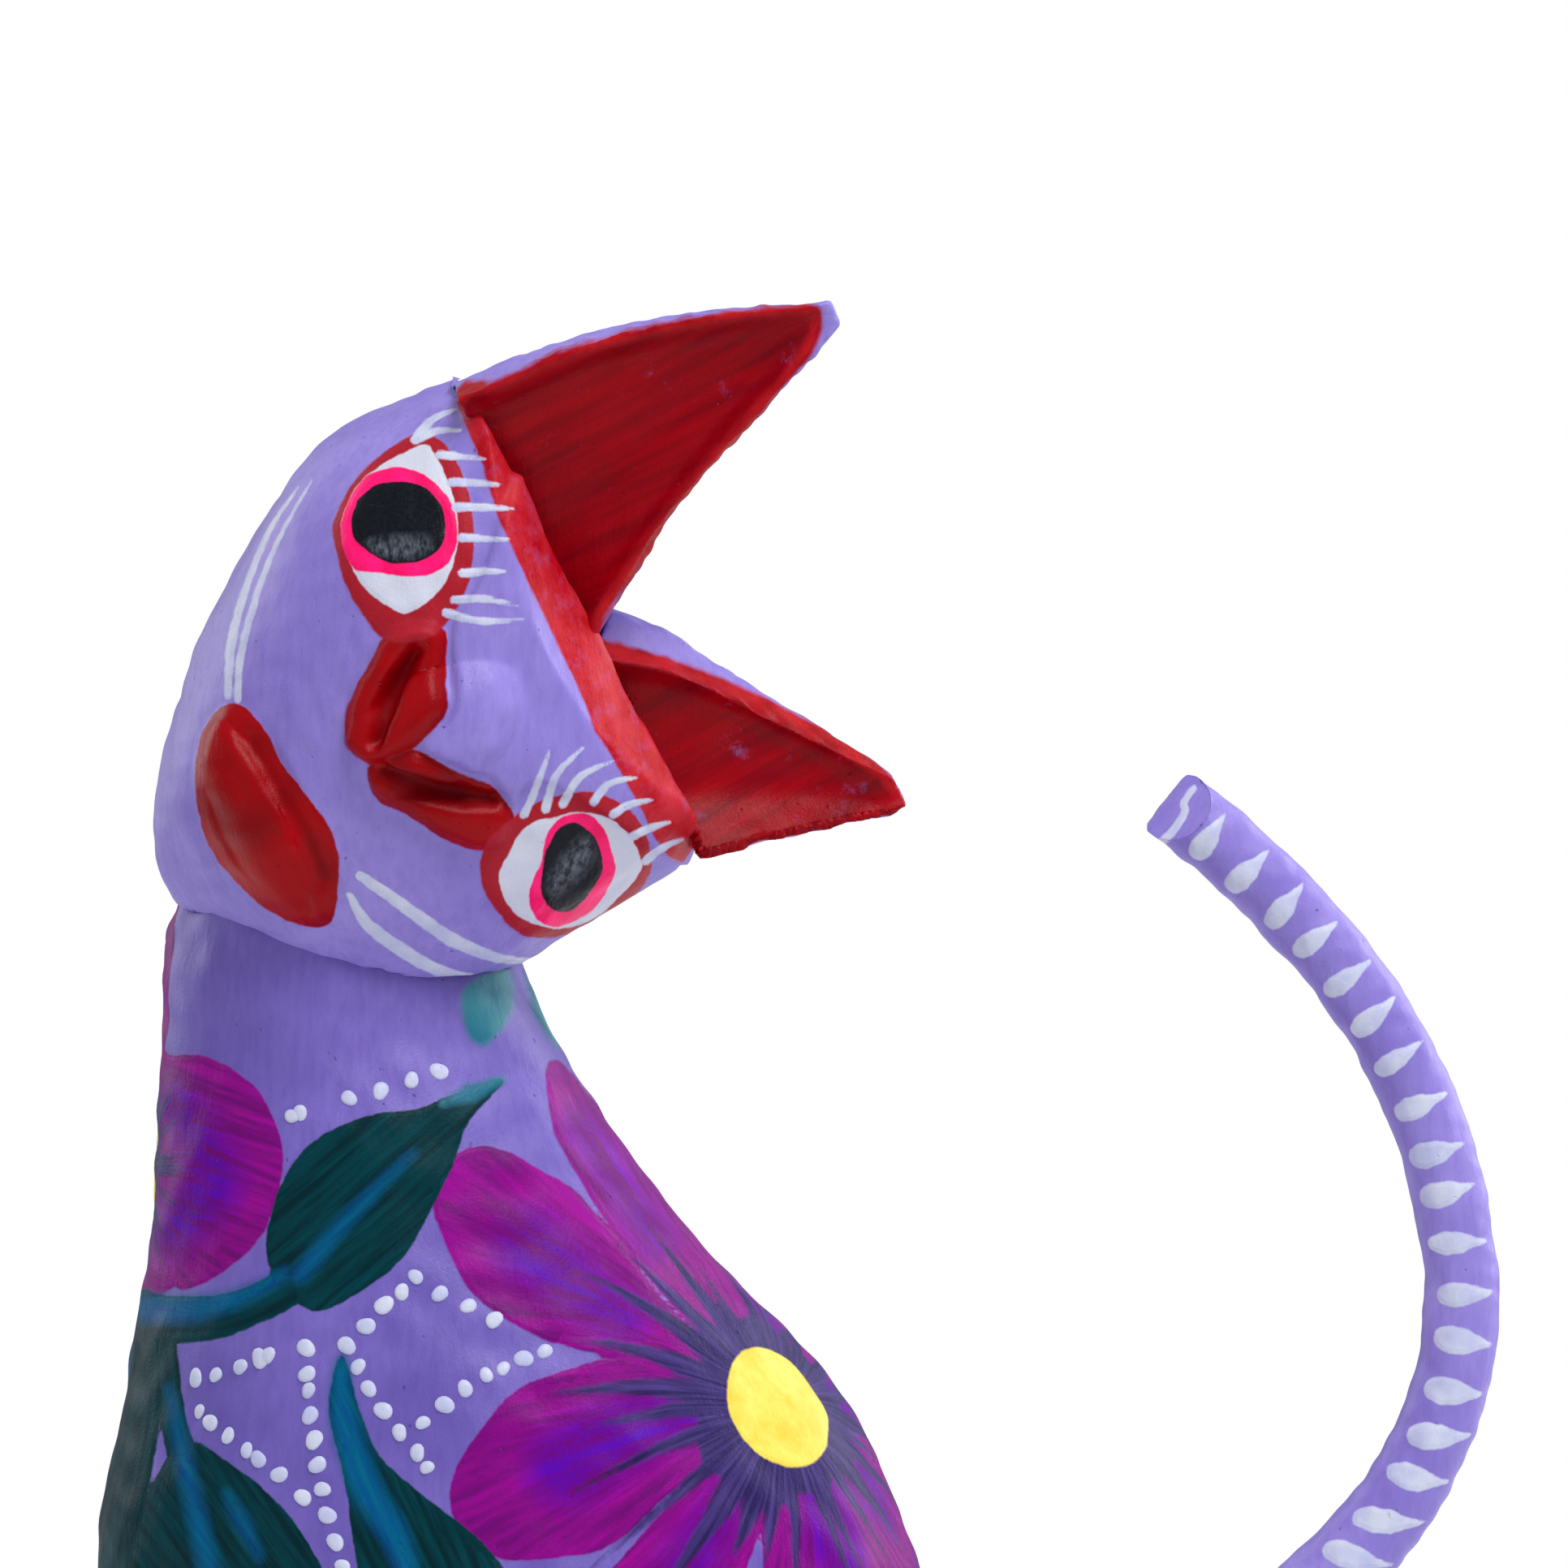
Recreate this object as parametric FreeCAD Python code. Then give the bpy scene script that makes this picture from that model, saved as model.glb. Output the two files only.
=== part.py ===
import FreeCAD, Part

# Carved wooden cat: a torso block, legs let in and nailed, a head on a dowel, pegged ears and a
# tail that plugs into the rump. Millimetres, +Z up; the origin is on the underside of the torso.
# The cat sits facing -X with its face turned towards -Y. Left and right are the cat's own.

import math
import os

V = FreeCAD.Vector

# ---- driving dimensions ------------------------------------------------------------------------

SECTION_POINTS = 16

# Torso: height, front x, back x, half width.
TORSO_SECTIONS = [
    (0.0, -9.0, 49.0, 25.0),
    (6.0, -13.0, 53.5, 29.5),
    (16.0, -18.0, 57.0, 32.5),
    (30.0, -26.0, 58.5, 34.5),
    (45.0, -36.0, 58.5, 36.0),
    (60.0, -45.0, 57.5, 36.5),
    (75.0, -50.5, 54.5, 36.5),
    (92.0, -52.0, 49.0, 35.5),
    (108.0, -50.0, 42.3, 33.0),
    (120.0, -47.5, 33.6, 30.5),
    (134.0, -45.5, 20.6, 27.0),
    (147.0, -44.5, 10.6, 24.0),
    (160.0, -44.0, 3.0, 21.5),
    (169.0, -43.3, -1.0, 20.2),
    (176.0, -41.0, -4.5, 18.0),
    (182.0, -37.0, -9.0, 14.5),
]

# Front leg, from paw to shoulder: height, middle x, half length, half width, |y|.
FRONT_LEG_SECTIONS = [
    (0.0, -52.0, 12.0, 8.0, 14.5),
    (4.0, -52.5, 13.5, 9.3, 14.5),
    (9.0, -51.5, 12.8, 9.2, 14.5),
    (14.0, -48.5, 9.4, 8.2, 14.3),
    (22.0, -46.6, 7.5, 7.3, 14.2),
    (42.0, -45.0, 8.0, 7.8, 15.0),
    (58.0, -43.5, 9.8, 9.4, 16.2),
    (72.0, -41.0, 11.4, 10.8, 18.0),
    (82.0, -38.2, 10.2, 9.6, 19.4),
    (90.0, -35.2, 6.6, 6.2, 20.4),
]

# Hind leg: the thigh is an ellipsoid, the foot a low loft running forward along the ground.
THIGH_CENTRE = (21.0, 26.5, 33.0)
THIGH_RADII = (33.0, 15.5, 33.5)
THIGH_LEAN = -18.0
LEG_SEAT = 25.0
# Hind foot, from toes to heel: x, half width, height, |y|.
FOOT_SECTIONS = [
    (-36.5, 4.0, 5.0, 32.0),
    (-34.0, 7.4, 9.0, 32.0),
    (-27.0, 9.0, 11.8, 32.0),
    (-17.0, 8.6, 12.2, 32.0),
    (-4.0, 8.0, 12.0, 31.5),
    (12.0, 8.0, 12.5, 31.0),
    (27.0, 7.0, 11.5, 30.5),
    (36.0, 5.0, 8.0, 30.5),
    (39.5, 2.4, 4.0, 30.5),
]

# Head frame: centre, tilt of the crown above +X, and the turn of the face about the crown axis.
HEAD_CENTRE = V(-14.0, -8.0, 198.0)
HEAD_TILT = 27.4
FACE_TURN = 10.0
# Head: distance towards the crown, middle and half width across the face, half depth, depth middle.
HEAD_SECTIONS = [
    (-35.4, 6.0, 2.6, 2.6, 0.0),
    (-34.2, 6.1, 5.6, 5.6, 0.0),
    (-31.2, 6.3, 10.6, 10.6, 0.0),
    (-25.6, 6.6, 17.8, 17.2, 0.0),
    (-17.0, 6.2, 25.4, 22.8, 0.0),
    (-7.0, 4.2, 30.2, 26.2, 0.0),
    (3.0, 1.2, 32.9, 27.6, 0.0),
    (13.0, 0.0, 33.4, 27.0, 0.6),
    (21.0, -0.2, 32.8, 23.6, 3.0),
    (29.0, -0.4, 31.0, 17.0, 8.0),
]
CROWN = 25.4
BAND_START = 21.4
BAND_DEPTH = 5.0

# Ears: distance towards the crown, middle and half width across the face, front depth, thickness.
EAR_RIGHT_SECTIONS = [
    (25.4, -14.7, 17.3, 19.5, 29.0),
    (30.5, -17.0, 14.7, 19.8, 24.0),
    (37.0, -18.9, 12.3, 20.0, 18.5),
    (44.0, -20.0, 10.0, 20.3, 14.0),
    (51.0, -20.5, 7.8, 20.6, 10.5),
    (58.0, -20.6, 5.3, 21.0, 7.6),
    (64.5, -20.4, 2.8, 21.4, 5.0),
    (68.0, -20.6, 1.5, 21.6, 3.0),
]
EAR_LEFT_SECTIONS = [
    (25.4, 16.6, 14.2, 19.0, 29.0),
    (29.5, 19.5, 12.8, 17.2, 24.5),
    (33.5, 22.8, 10.9, 15.4, 19.5),
    (37.5, 26.4, 8.6, 13.6, 15.0),
    (41.5, 30.0, 6.4, 11.8, 11.2),
    (45.0, 33.2, 4.5, 10.2, 8.0),
    (47.7, 35.5, 3.0, 8.9, 5.2),
    (49.2, 36.6, 1.8, 8.2, 3.2),
]
# Outline of one ear section, as shares of its half width and thickness: the scooped red front
# between two sharp edges, then round the domed back, which bulges past the edges.
EAR_FRONT = [(-0.97, 0.0), (-0.55, -0.10), (0.0, -0.14), (0.55, -0.10), (0.97, 0.0)]
EAR_BACK = [(1.0, -0.30), (0.90, -0.62), (0.45, -0.92), (0.0, -1.0), (-0.45, -0.92), (-0.90, -0.62), (-1.0, -0.30)]
# How far each back bulges towards the cat's right and towards its left, as a share of the half width.
EAR_RIGHT_BULGE = (1.05, 1.06)
EAR_LEFT_BULGE = (1.42, 1.0)

# Low swellings carved on the face: across, up and depth of the middle, the way it faces, measured
# from the front of the face, and radii across, up and outwards.
EYE_RIGHT = (-17.4, 10.5, 15.0, -40.0, 10.5, 11.5, 6.4)
EYE_LEFT = (21.6, 10.0, 14.4, 42.0, 10.5, 11.5, 6.4)
NOSE = (0.8, 5.0, 21.0, 0.0, 8.5, 14.5, 9.6)
LIPS = (4.0, -18.4, 15.2, 0.0, 14.8, 6.4, 7.6)

# Tail: middle line in the plane y = 0, a straight shank and then a curl through these points (x, z).
TAIL_SEAT = V(52.8, 0.0, 43.6)
TAIL_RISE = 45.0
TAIL_STRAIGHT = 62.0
TAIL_ROUTE = [
    (107.3, 99.2),
    (112.3, 107.5),
    (115.7, 119.0),
    (115.2, 134.1),
    (109.0, 153.6),
    (97.1, 170.7),
    (79.8, 186.5),
]
TAIL_PLUG_RADIUS = 5.3
TAIL_PLUG_LENGTH = 14.0
TAIL_RING_SPACING = 4.8
TAIL_ROOT_RADIUS = 5.2
TAIL_TIP_RADIUS = 4.55
# The tail loses most of its thickness in the first part of the curl.
TAIL_TAPER = 4
SOCKET_CLEARANCE = 0.35

PEG_RADIUS = 2.5
PEG_CLEARANCE = 0.05
PEG_IN_TORSO = 18.0
PEG_IN_TAIL = 14.0
SPARE = 1.0

NECK_DOWEL_RADIUS = 4.0
NECK_DOWEL_FOOT = V(-22.0, -1.0, 158.0)
NECK_DOWEL_LENGTH = 42.0

# Ear pegs: across the face and depth, on the crown.
EAR_PEG_RADIUS = 1.5
EAR_PEG_HALF = 10.0
EAR_PEG_RIGHT = (-16.2, 9.0)
EAR_PEG_LEFT = (21.2, 7.0)

NAIL_RADIUS = 0.8
NAIL_HEAD_RADIUS = 1.7
NAIL_HEAD_THICKNESS = 0.7
NAIL_LENGTH = 22.0
NAIL_SET = 6.0
# Nails in each leg: x, z and |y| of the head's outer face, just under the surface of the wood.
FRONT_LEG_NAILS = {"upper": (-39.5, 78.0, 28.4), "lower": (-42.5, 63.0, 26.0)}
HIND_LEG_NAILS = {"upper": (17.0, 46.0, 40.0), "lower": (30.0, 26.0, 40.4)}

# ---- shape helpers -----------------------------------------------------------------------------


def loft(rings):
    """Solid through closed smooth rings, each a list of points in matching order."""
    wires = []
    for ring in rings:
        curve = Part.BSplineCurve()
        curve.interpolate(Points=ring, PeriodicFlag=True)
        wires.append(Part.Wire(curve.toShape()))
    return Part.makeLoft(wires, True, False)


def oval(middle, across, along, half_across, half_along, power=2.0):
    """Ring of points on a superellipse spanned by two directions."""
    ring = []
    for k in range(SECTION_POINTS):
        t = 2 * math.pi * k / SECTION_POINTS
        c, s = math.cos(t), math.sin(t)
        a = math.copysign(abs(c) ** (2 / power), c) * half_across
        b = math.copysign(abs(s) ** (2 / power), s) * half_along
        ring.append(middle + across * a + along * b)
    return ring


def ellipsoid(centre, directions, radii):
    """Solid ellipsoid with its three radii along three perpendicular directions."""
    d1, d2, d3 = directions
    r1, r2, r3 = radii
    m = FreeCAD.Matrix(
        d1.x * r1, d2.x * r2, d3.x * r3, centre.x,
        d1.y * r1, d2.y * r2, d3.y * r3, centre.y,
        d1.z * r1, d2.z * r2, d3.z * r3, centre.z,
        0, 0, 0, 1,
    )
    return Part.makeSphere(1.0).transformGeometry(m)


def half_space(point, normal, size=400.0):
    """A big box whose one face goes through point, on the side that normal points to."""
    n = V(normal).normalize()
    box = Part.makeBox(size, size, size, V(-size / 2, -size / 2, 0))
    box.Placement = FreeCAD.Placement(point, FreeCAD.Rotation(V(0, 0, 1), n))
    return box


def rod(start, direction, radius, length):
    return Part.makeCylinder(radius, length, start, V(direction).normalize())


def one_solid(shape):
    """The largest solid of a boolean result."""
    return max(shape.Solids, key=lambda s: s.Volume)


# ---- head frame --------------------------------------------------------------------------------

_tilt, _turn = math.radians(HEAD_TILT), math.radians(FACE_TURN)
UP = V(math.cos(_tilt), 0, math.sin(_tilt))
_flat_side = V(math.sin(_tilt), 0, -math.cos(_tilt))
_flat_front = V(0, -1, 0)
FRONT = _flat_front * math.cos(_turn) + _flat_side * math.sin(_turn)
SIDE = _flat_side * math.cos(_turn) - _flat_front * math.sin(_turn)


_rise = math.radians(TAIL_RISE)
TAIL_OUT = V(math.cos(_rise), 0, math.sin(_rise))


def at_head(side, up, front):
    """A point given in the head's own directions: across the face, towards the crown, out of the face."""
    return HEAD_CENTRE + SIDE * side + UP * up + FRONT * front


# ---- sub-parts ---------------------------------------------------------------------------------


def make_torso():
    rings = []
    for z, front, back, half in TORSO_SECTIONS:
        middle = V((front + back) / 2, 0, z)
        rings.append(oval(middle, V(1, 0, 0), V(0, 1, 0), (back - front) / 2, half, 2.15))
    return loft(rings)


def make_front_leg(side):
    rings = [
        oval(V(x, side * y, z), V(1, 0, 0), V(0, 1, 0), long, wide, 2.1)
        for z, x, long, wide, y in FRONT_LEG_SECTIONS
    ]
    return loft(rings)


def make_hind_leg(side):
    """Thigh and foot in one piece, flat where it meets the ground and where it seats in the torso."""
    lean = math.radians(THIGH_LEAN)
    forward = V(math.cos(lean), 0, math.sin(lean))
    upward = V(-math.sin(lean), 0, math.cos(lean))
    x, y, z = THIGH_CENTRE
    thigh = ellipsoid(V(x, side * y, z), (forward, V(0, 1, 0), upward), THIGH_RADII)
    rings = []
    for fx, half, height, fy in FOOT_SECTIONS:
        middle = V(fx, side * fy, height / 2 - 1.0)
        rings.append(oval(middle, V(0, 1, 0), V(0, 0, 1), half, height / 2 + 1.0, 2.4))
    leg = thigh.fuse(loft(rings))
    leg = leg.cut(half_space(V(0, 0, 0), V(0, 0, -1)))
    seat = half_space(V(0, side * LEG_SEAT, 0), V(0, -side, 0))
    keep = half_space(V(0, 0, FOOT_SECTIONS[2][2]), V(0, 0, 1))
    return one_solid(leg.cut(seat.common(keep)))


def make_head():
    rings = []
    for u, mid, wide, deep, back in HEAD_SECTIONS:
        rings.append(oval(at_head(mid, u, back), SIDE, FRONT, wide, deep, 2.25))
    head = loft(rings)
    for s, u, f, facing, rs, ru, rf in (EYE_RIGHT, EYE_LEFT, NOSE, LIPS):
        a = math.radians(facing)
        outward = FRONT * math.cos(a) + SIDE * math.sin(a)
        across = SIDE * math.cos(a) - FRONT * math.sin(a)
        head = head.fuse(ellipsoid(at_head(s, u, f), (across, UP, outward), (rs, ru, rf)))
    head = head.cut(half_space(at_head(0, CROWN, 0), UP))
    bevel = UP * BAND_DEPTH + FRONT * (CROWN - BAND_START)
    head = head.cut(half_space(at_head(0, CROWN, EAR_RIGHT_SECTIONS[0][3]), bevel))
    return one_solid(head)


def make_ear(sections, bulge):
    rightwards, leftwards = bulge
    rings = []
    for u, mid, half, front, thick in sections:
        ring = [at_head(mid + a * half, u, front + b * thick) for a, b in EAR_FRONT]
        ring.append(at_head(mid + half, u, front - 0.08 * thick))
        for a, b in EAR_BACK:
            spread = leftwards if a > 0 else rightwards
            ring.append(at_head(mid + a * spread * half, u, front + b * thick))
        ring.append(at_head(mid - half, u, front - 0.08 * thick))
        rings.append(ring)
    return one_solid(loft(rings))


def tail_ring(middle, along, radius):
    return oval(middle, V(0, 1, 0), V(0, 1, 0).cross(along).normalize(), radius, radius)


def make_tail():
    """Round tail: a plug, a straight shank leaving it, then a curl; cut square at both ends."""
    plug = rod(TAIL_SEAT, TAIL_OUT, TAIL_PLUG_RADIUS, TAIL_PLUG_LENGTH)
    start = TAIL_SEAT + TAIL_OUT * TAIL_STRAIGHT
    curve = Part.BSplineCurve()
    curve.interpolate(Points=[start] + [V(x, 0, z) for x, z in TAIL_ROUTE], InitialTangent=TAIL_OUT)
    rings = []
    along = TAIL_PLUG_LENGTH - TAIL_RING_SPACING
    while along < TAIL_STRAIGHT - TAIL_RING_SPACING / 2:
        rings.append(tail_ring(TAIL_SEAT + TAIL_OUT * along, TAIL_OUT, TAIL_ROOT_RADIUS))
        along += TAIL_RING_SPACING
    steps = round(curve.length() / TAIL_RING_SPACING)
    first, last = curve.FirstParameter, curve.LastParameter
    for k in range(steps + 1):
        share = k / steps
        t = first + (last - first) * share
        radius = TAIL_TIP_RADIUS + (TAIL_ROOT_RADIUS - TAIL_TIP_RADIUS) * (1 - share) ** TAIL_TAPER
        rings.append(tail_ring(curve.value(t), V(*curve.tangent(t)[0]), radius))
    return one_solid(plug.fuse(loft(rings)))


def make_nail(place, side):
    """Wire nail driven towards the middle plane, and the hole it leaves from the surface inwards."""
    x, z, y = place
    inward = V(0, -side, 0)
    head_face = V(x, side * y, z)
    shank = rod(head_face, inward, NAIL_RADIUS, NAIL_LENGTH)
    nail = rod(head_face, inward, NAIL_HEAD_RADIUS, NAIL_HEAD_THICKNESS).fuse(shank)
    above = head_face - inward * NAIL_SET
    hole = rod(above, inward, NAIL_HEAD_RADIUS, NAIL_SET + NAIL_HEAD_THICKNESS).fuse(shank)
    return nail, hole


def write(name, shape):
    shape.exportStep(f"parts/{name}.step")
    print(f"{name:24s} solids {len(shape.Solids)} valid {shape.isValid()} volume {shape.Volume:.0f}")


def main():
    os.makedirs("parts", exist_ok=True)
    torso = make_torso()
    head = make_head().cut(torso)
    parts = {}

    for word, side in (("left", -1), ("right", 1)):
        for kind, make, nails in (
            ("front", make_front_leg, FRONT_LEG_NAILS),
            ("hind", make_hind_leg, HIND_LEG_NAILS),
        ):
            leg = make(side)
            torso = torso.cut(leg)
            for place, position in nails.items():
                nail, hole = make_nail(position, side)
                leg = leg.cut(hole)
                torso = torso.cut(hole)
                parts[f"nail_{kind}_{word}_{place}"] = nail
            parts[f"{kind}_leg_{word}"] = one_solid(leg)

    parts["neck_dowel"] = rod(NECK_DOWEL_FOOT, V(0, 0, 1), NECK_DOWEL_RADIUS, NECK_DOWEL_LENGTH)
    torso = torso.cut(parts["neck_dowel"])
    head = head.cut(parts["neck_dowel"])

    ears = {
        "right": make_ear(EAR_RIGHT_SECTIONS, EAR_RIGHT_BULGE),
        "left": make_ear(EAR_LEFT_SECTIONS, EAR_LEFT_BULGE),
    }
    ears["left"] = ears["left"].cut(ears["right"])
    for word, place in (("right", EAR_PEG_RIGHT), ("left", EAR_PEG_LEFT)):
        foot = at_head(place[0], CROWN - EAR_PEG_HALF, place[1])
        peg = rod(foot, UP, EAR_PEG_RADIUS, 2 * EAR_PEG_HALF)
        head = head.cut(peg)
        parts[f"ear_peg_{word}"] = peg
        parts[f"ear_{word}"] = one_solid(ears[word].cut(peg))

    peg_foot = TAIL_SEAT - TAIL_OUT * PEG_IN_TORSO
    parts["tail_peg"] = rod(peg_foot, TAIL_OUT, PEG_RADIUS, PEG_IN_TORSO + PEG_IN_TAIL)
    bore_length = PEG_IN_TORSO + PEG_IN_TAIL + 2 * SPARE
    bore = rod(peg_foot - TAIL_OUT * SPARE, TAIL_OUT, PEG_RADIUS + PEG_CLEARANCE, bore_length)
    pocket = rod(TAIL_SEAT, TAIL_OUT, TAIL_PLUG_RADIUS + SOCKET_CLEARANCE, TAIL_STRAIGHT)
    parts["tail"] = one_solid(make_tail().cut(bore))
    parts["torso"] = one_solid(torso.cut(bore).cut(pocket))
    parts["head"] = one_solid(head)

    for name in sorted(parts):
        write(name, parts[name])


main()
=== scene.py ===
import math

import bpy
import numpy as np
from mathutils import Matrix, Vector
from mathutils.bvhtree import BVHTree


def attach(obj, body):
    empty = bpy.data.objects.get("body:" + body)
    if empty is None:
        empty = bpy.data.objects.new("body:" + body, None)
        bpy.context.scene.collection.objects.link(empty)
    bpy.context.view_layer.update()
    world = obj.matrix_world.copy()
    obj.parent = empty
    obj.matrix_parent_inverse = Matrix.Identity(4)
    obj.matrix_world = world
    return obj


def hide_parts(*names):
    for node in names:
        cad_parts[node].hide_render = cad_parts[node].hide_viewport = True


# Painted carved cat. Shapes start from the CAD solids, are carved further and then painted: each
# colour is laid down as strokes and outlines, kept on the mesh as a distance in millimetres from the
# edge of the paint (positive inside), which the materials turn into crisp painted areas.
# Numbers in this script are millimetres in the model's own frame until they reach Blender.

METRE = 1000.0
OUTSIDE = -9.0
# Bristle marks that fan out from a point: how wide a radian of turn counts, in mm.
FAN_WIDTH = 22.0
# Keeps the bristle marks of one stroke from lining up with the next one's.
NEXT_STROKE = 3.7
# Further away than any part of the figure, in metres.
CLEAR_OF_FIGURE = 0.5
# How fast paint stops where the surface turns from the eye.
WRAP_FADE = 12.0

# A dot of paint: how far out each ring of its dome is, as a share of its radius, and its height.
DOT_SIDES = 14
DOT_RINGS = [(1.0, -0.15), (0.97, 0.06), (0.84, 0.20), (0.55, 0.31)]
DOT_HEIGHT = 0.35

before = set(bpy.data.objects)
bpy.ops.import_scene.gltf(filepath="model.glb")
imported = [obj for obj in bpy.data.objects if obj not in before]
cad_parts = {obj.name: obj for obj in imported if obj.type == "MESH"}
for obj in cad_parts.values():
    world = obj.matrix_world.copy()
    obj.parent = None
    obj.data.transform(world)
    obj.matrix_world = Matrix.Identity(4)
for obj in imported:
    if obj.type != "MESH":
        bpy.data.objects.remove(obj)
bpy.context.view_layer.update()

# ---- where the figure is looked at from ---------------------------------------------------------

EYE_X = 32.6
EYE_Z = 188.4
EYE_AWAY = 750.0
FIELD_WIDTH = 193.2

# ---- head directions, as the head is set on the neck --------------------------------------------

HEAD_CENTRE = np.array([-14.0, -8.0, 198.0])
HEAD_TILT = math.radians(27.4)
FACE_TURN = math.radians(10.0)
UP = np.array([math.cos(HEAD_TILT), 0.0, math.sin(HEAD_TILT)])
FLAT_SIDE = np.array([math.sin(HEAD_TILT), 0.0, -math.cos(HEAD_TILT)])
FLAT_FRONT = np.array([0.0, -1.0, 0.0])
FRONT = FLAT_FRONT * math.cos(FACE_TURN) + FLAT_SIDE * math.sin(FACE_TURN)
SIDE = FLAT_SIDE * math.cos(FACE_TURN) - FLAT_FRONT * math.sin(FACE_TURN)

# ---- small geometry tools -----------------------------------------------------------------------


def smooth_line(points, steps=6, closed=False):
    """Points of a smooth curve through the given ones, in two or three dimensions."""
    p = np.array(points, float)
    count = len(p)
    spans = count if closed else count - 1
    out = []
    for i in range(spans):
        if closed:
            a, b, c, d = p[i - 1], p[i], p[(i + 1) % count], p[(i + 2) % count]
        else:
            a, b, c, d = p[max(i - 1, 0)], p[i], p[i + 1], p[min(i + 2, count - 1)]
        for k in range(steps):
            t = k / steps
            out.append(0.5 * (2 * b + (c - a) * t + (2 * a - 5 * b + 4 * c - d) * t * t
                              + (3 * b - a - 3 * c + d) * t ** 3))
    if not closed:
        out.append(p[-1])
    return np.array(out)


def inside_distance(points, outline):
    """Distance of 2-D points from a closed outline, positive inside."""
    x, y = points[:, 0], points[:, 1]
    nearest = np.full(len(points), 1e9)
    inside = np.zeros(len(points), bool)
    for (ax, ay), (bx, by) in zip(outline, np.roll(outline, -1, axis=0)):
        ex, ey = bx - ax, by - ay
        wx, wy = x - ax, y - ay
        t = np.clip((wx * ex + wy * ey) / (ex * ex + ey * ey + 1e-9), 0, 1)
        nearest = np.minimum(nearest, (wx - ex * t) ** 2 + (wy - ey * t) ** 2)
        if ay != by:
            crosses = ((ay > y) != (by > y)) & (x < ex * (y - ay) / ey + ax)
            inside ^= crosses
    return np.where(inside, 1.0, -1.0) * np.sqrt(nearest)


def stroke_distance(points, line, widths):
    """Distance inside a brush stroke: along a line whose half width changes from point to point.

    Also gives how far along and how far off the line each point is.
    """
    best = np.full(len(points), OUTSIDE)
    along = np.zeros(len(points))
    off = np.zeros(len(points))
    walked = 0.0
    for a, b, ra, rb in zip(line[:-1], line[1:], widths[:-1], widths[1:]):
        e = b - a
        length = float(np.linalg.norm(e)) + 1e-9
        w = points - a
        t = np.clip(w @ e / length ** 2, 0, 1)
        away = np.linalg.norm(w - t[:, None] * e, axis=1)
        depth = ra + (rb - ra) * t - away
        better = depth > best
        best = np.where(better, depth, best)
        ahead = w @ e / length
        sideways = np.sqrt(np.maximum((w * w).sum(axis=1) - ahead ** 2, 0))
        along = np.where(better, walked + ahead, along)
        off = np.where(better, sideways, off)
        walked += length
    return best, along, off


def step_up(x, low, high):
    """0 below low, 1 above high, smooth between."""
    t = np.clip((x - low) / (high - low), 0, 1)
    return t * t * (3 - 2 * t)


def ripple(points, wavelength, seed, waves=10):
    """Uneven surface of about unit height, from waves in random directions."""
    rng = np.random.default_rng(seed)
    total = np.zeros(len(points))
    for _ in range(waves):
        d = rng.normal(size=3)
        d *= 2 * math.pi / (np.linalg.norm(d) * wavelength * rng.uniform(0.7, 1.4))
        total += np.sin(points @ d + rng.uniform(0, 2 * math.pi))
    return total / math.sqrt(waves / 2)


def seen_flat(points):
    """Where points in space appear on the middle plane, looking from the eye: x and z."""
    grow = EYE_AWAY / (EYE_AWAY + points[:, 1])
    x = EYE_X + (points[:, 0] - EYE_X) * grow
    z = EYE_Z + (points[:, 2] - EYE_Z) * grow
    return np.stack([x, z], axis=1)


# ---- a carved piece that can be cut and painted -------------------------------------------------


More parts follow.
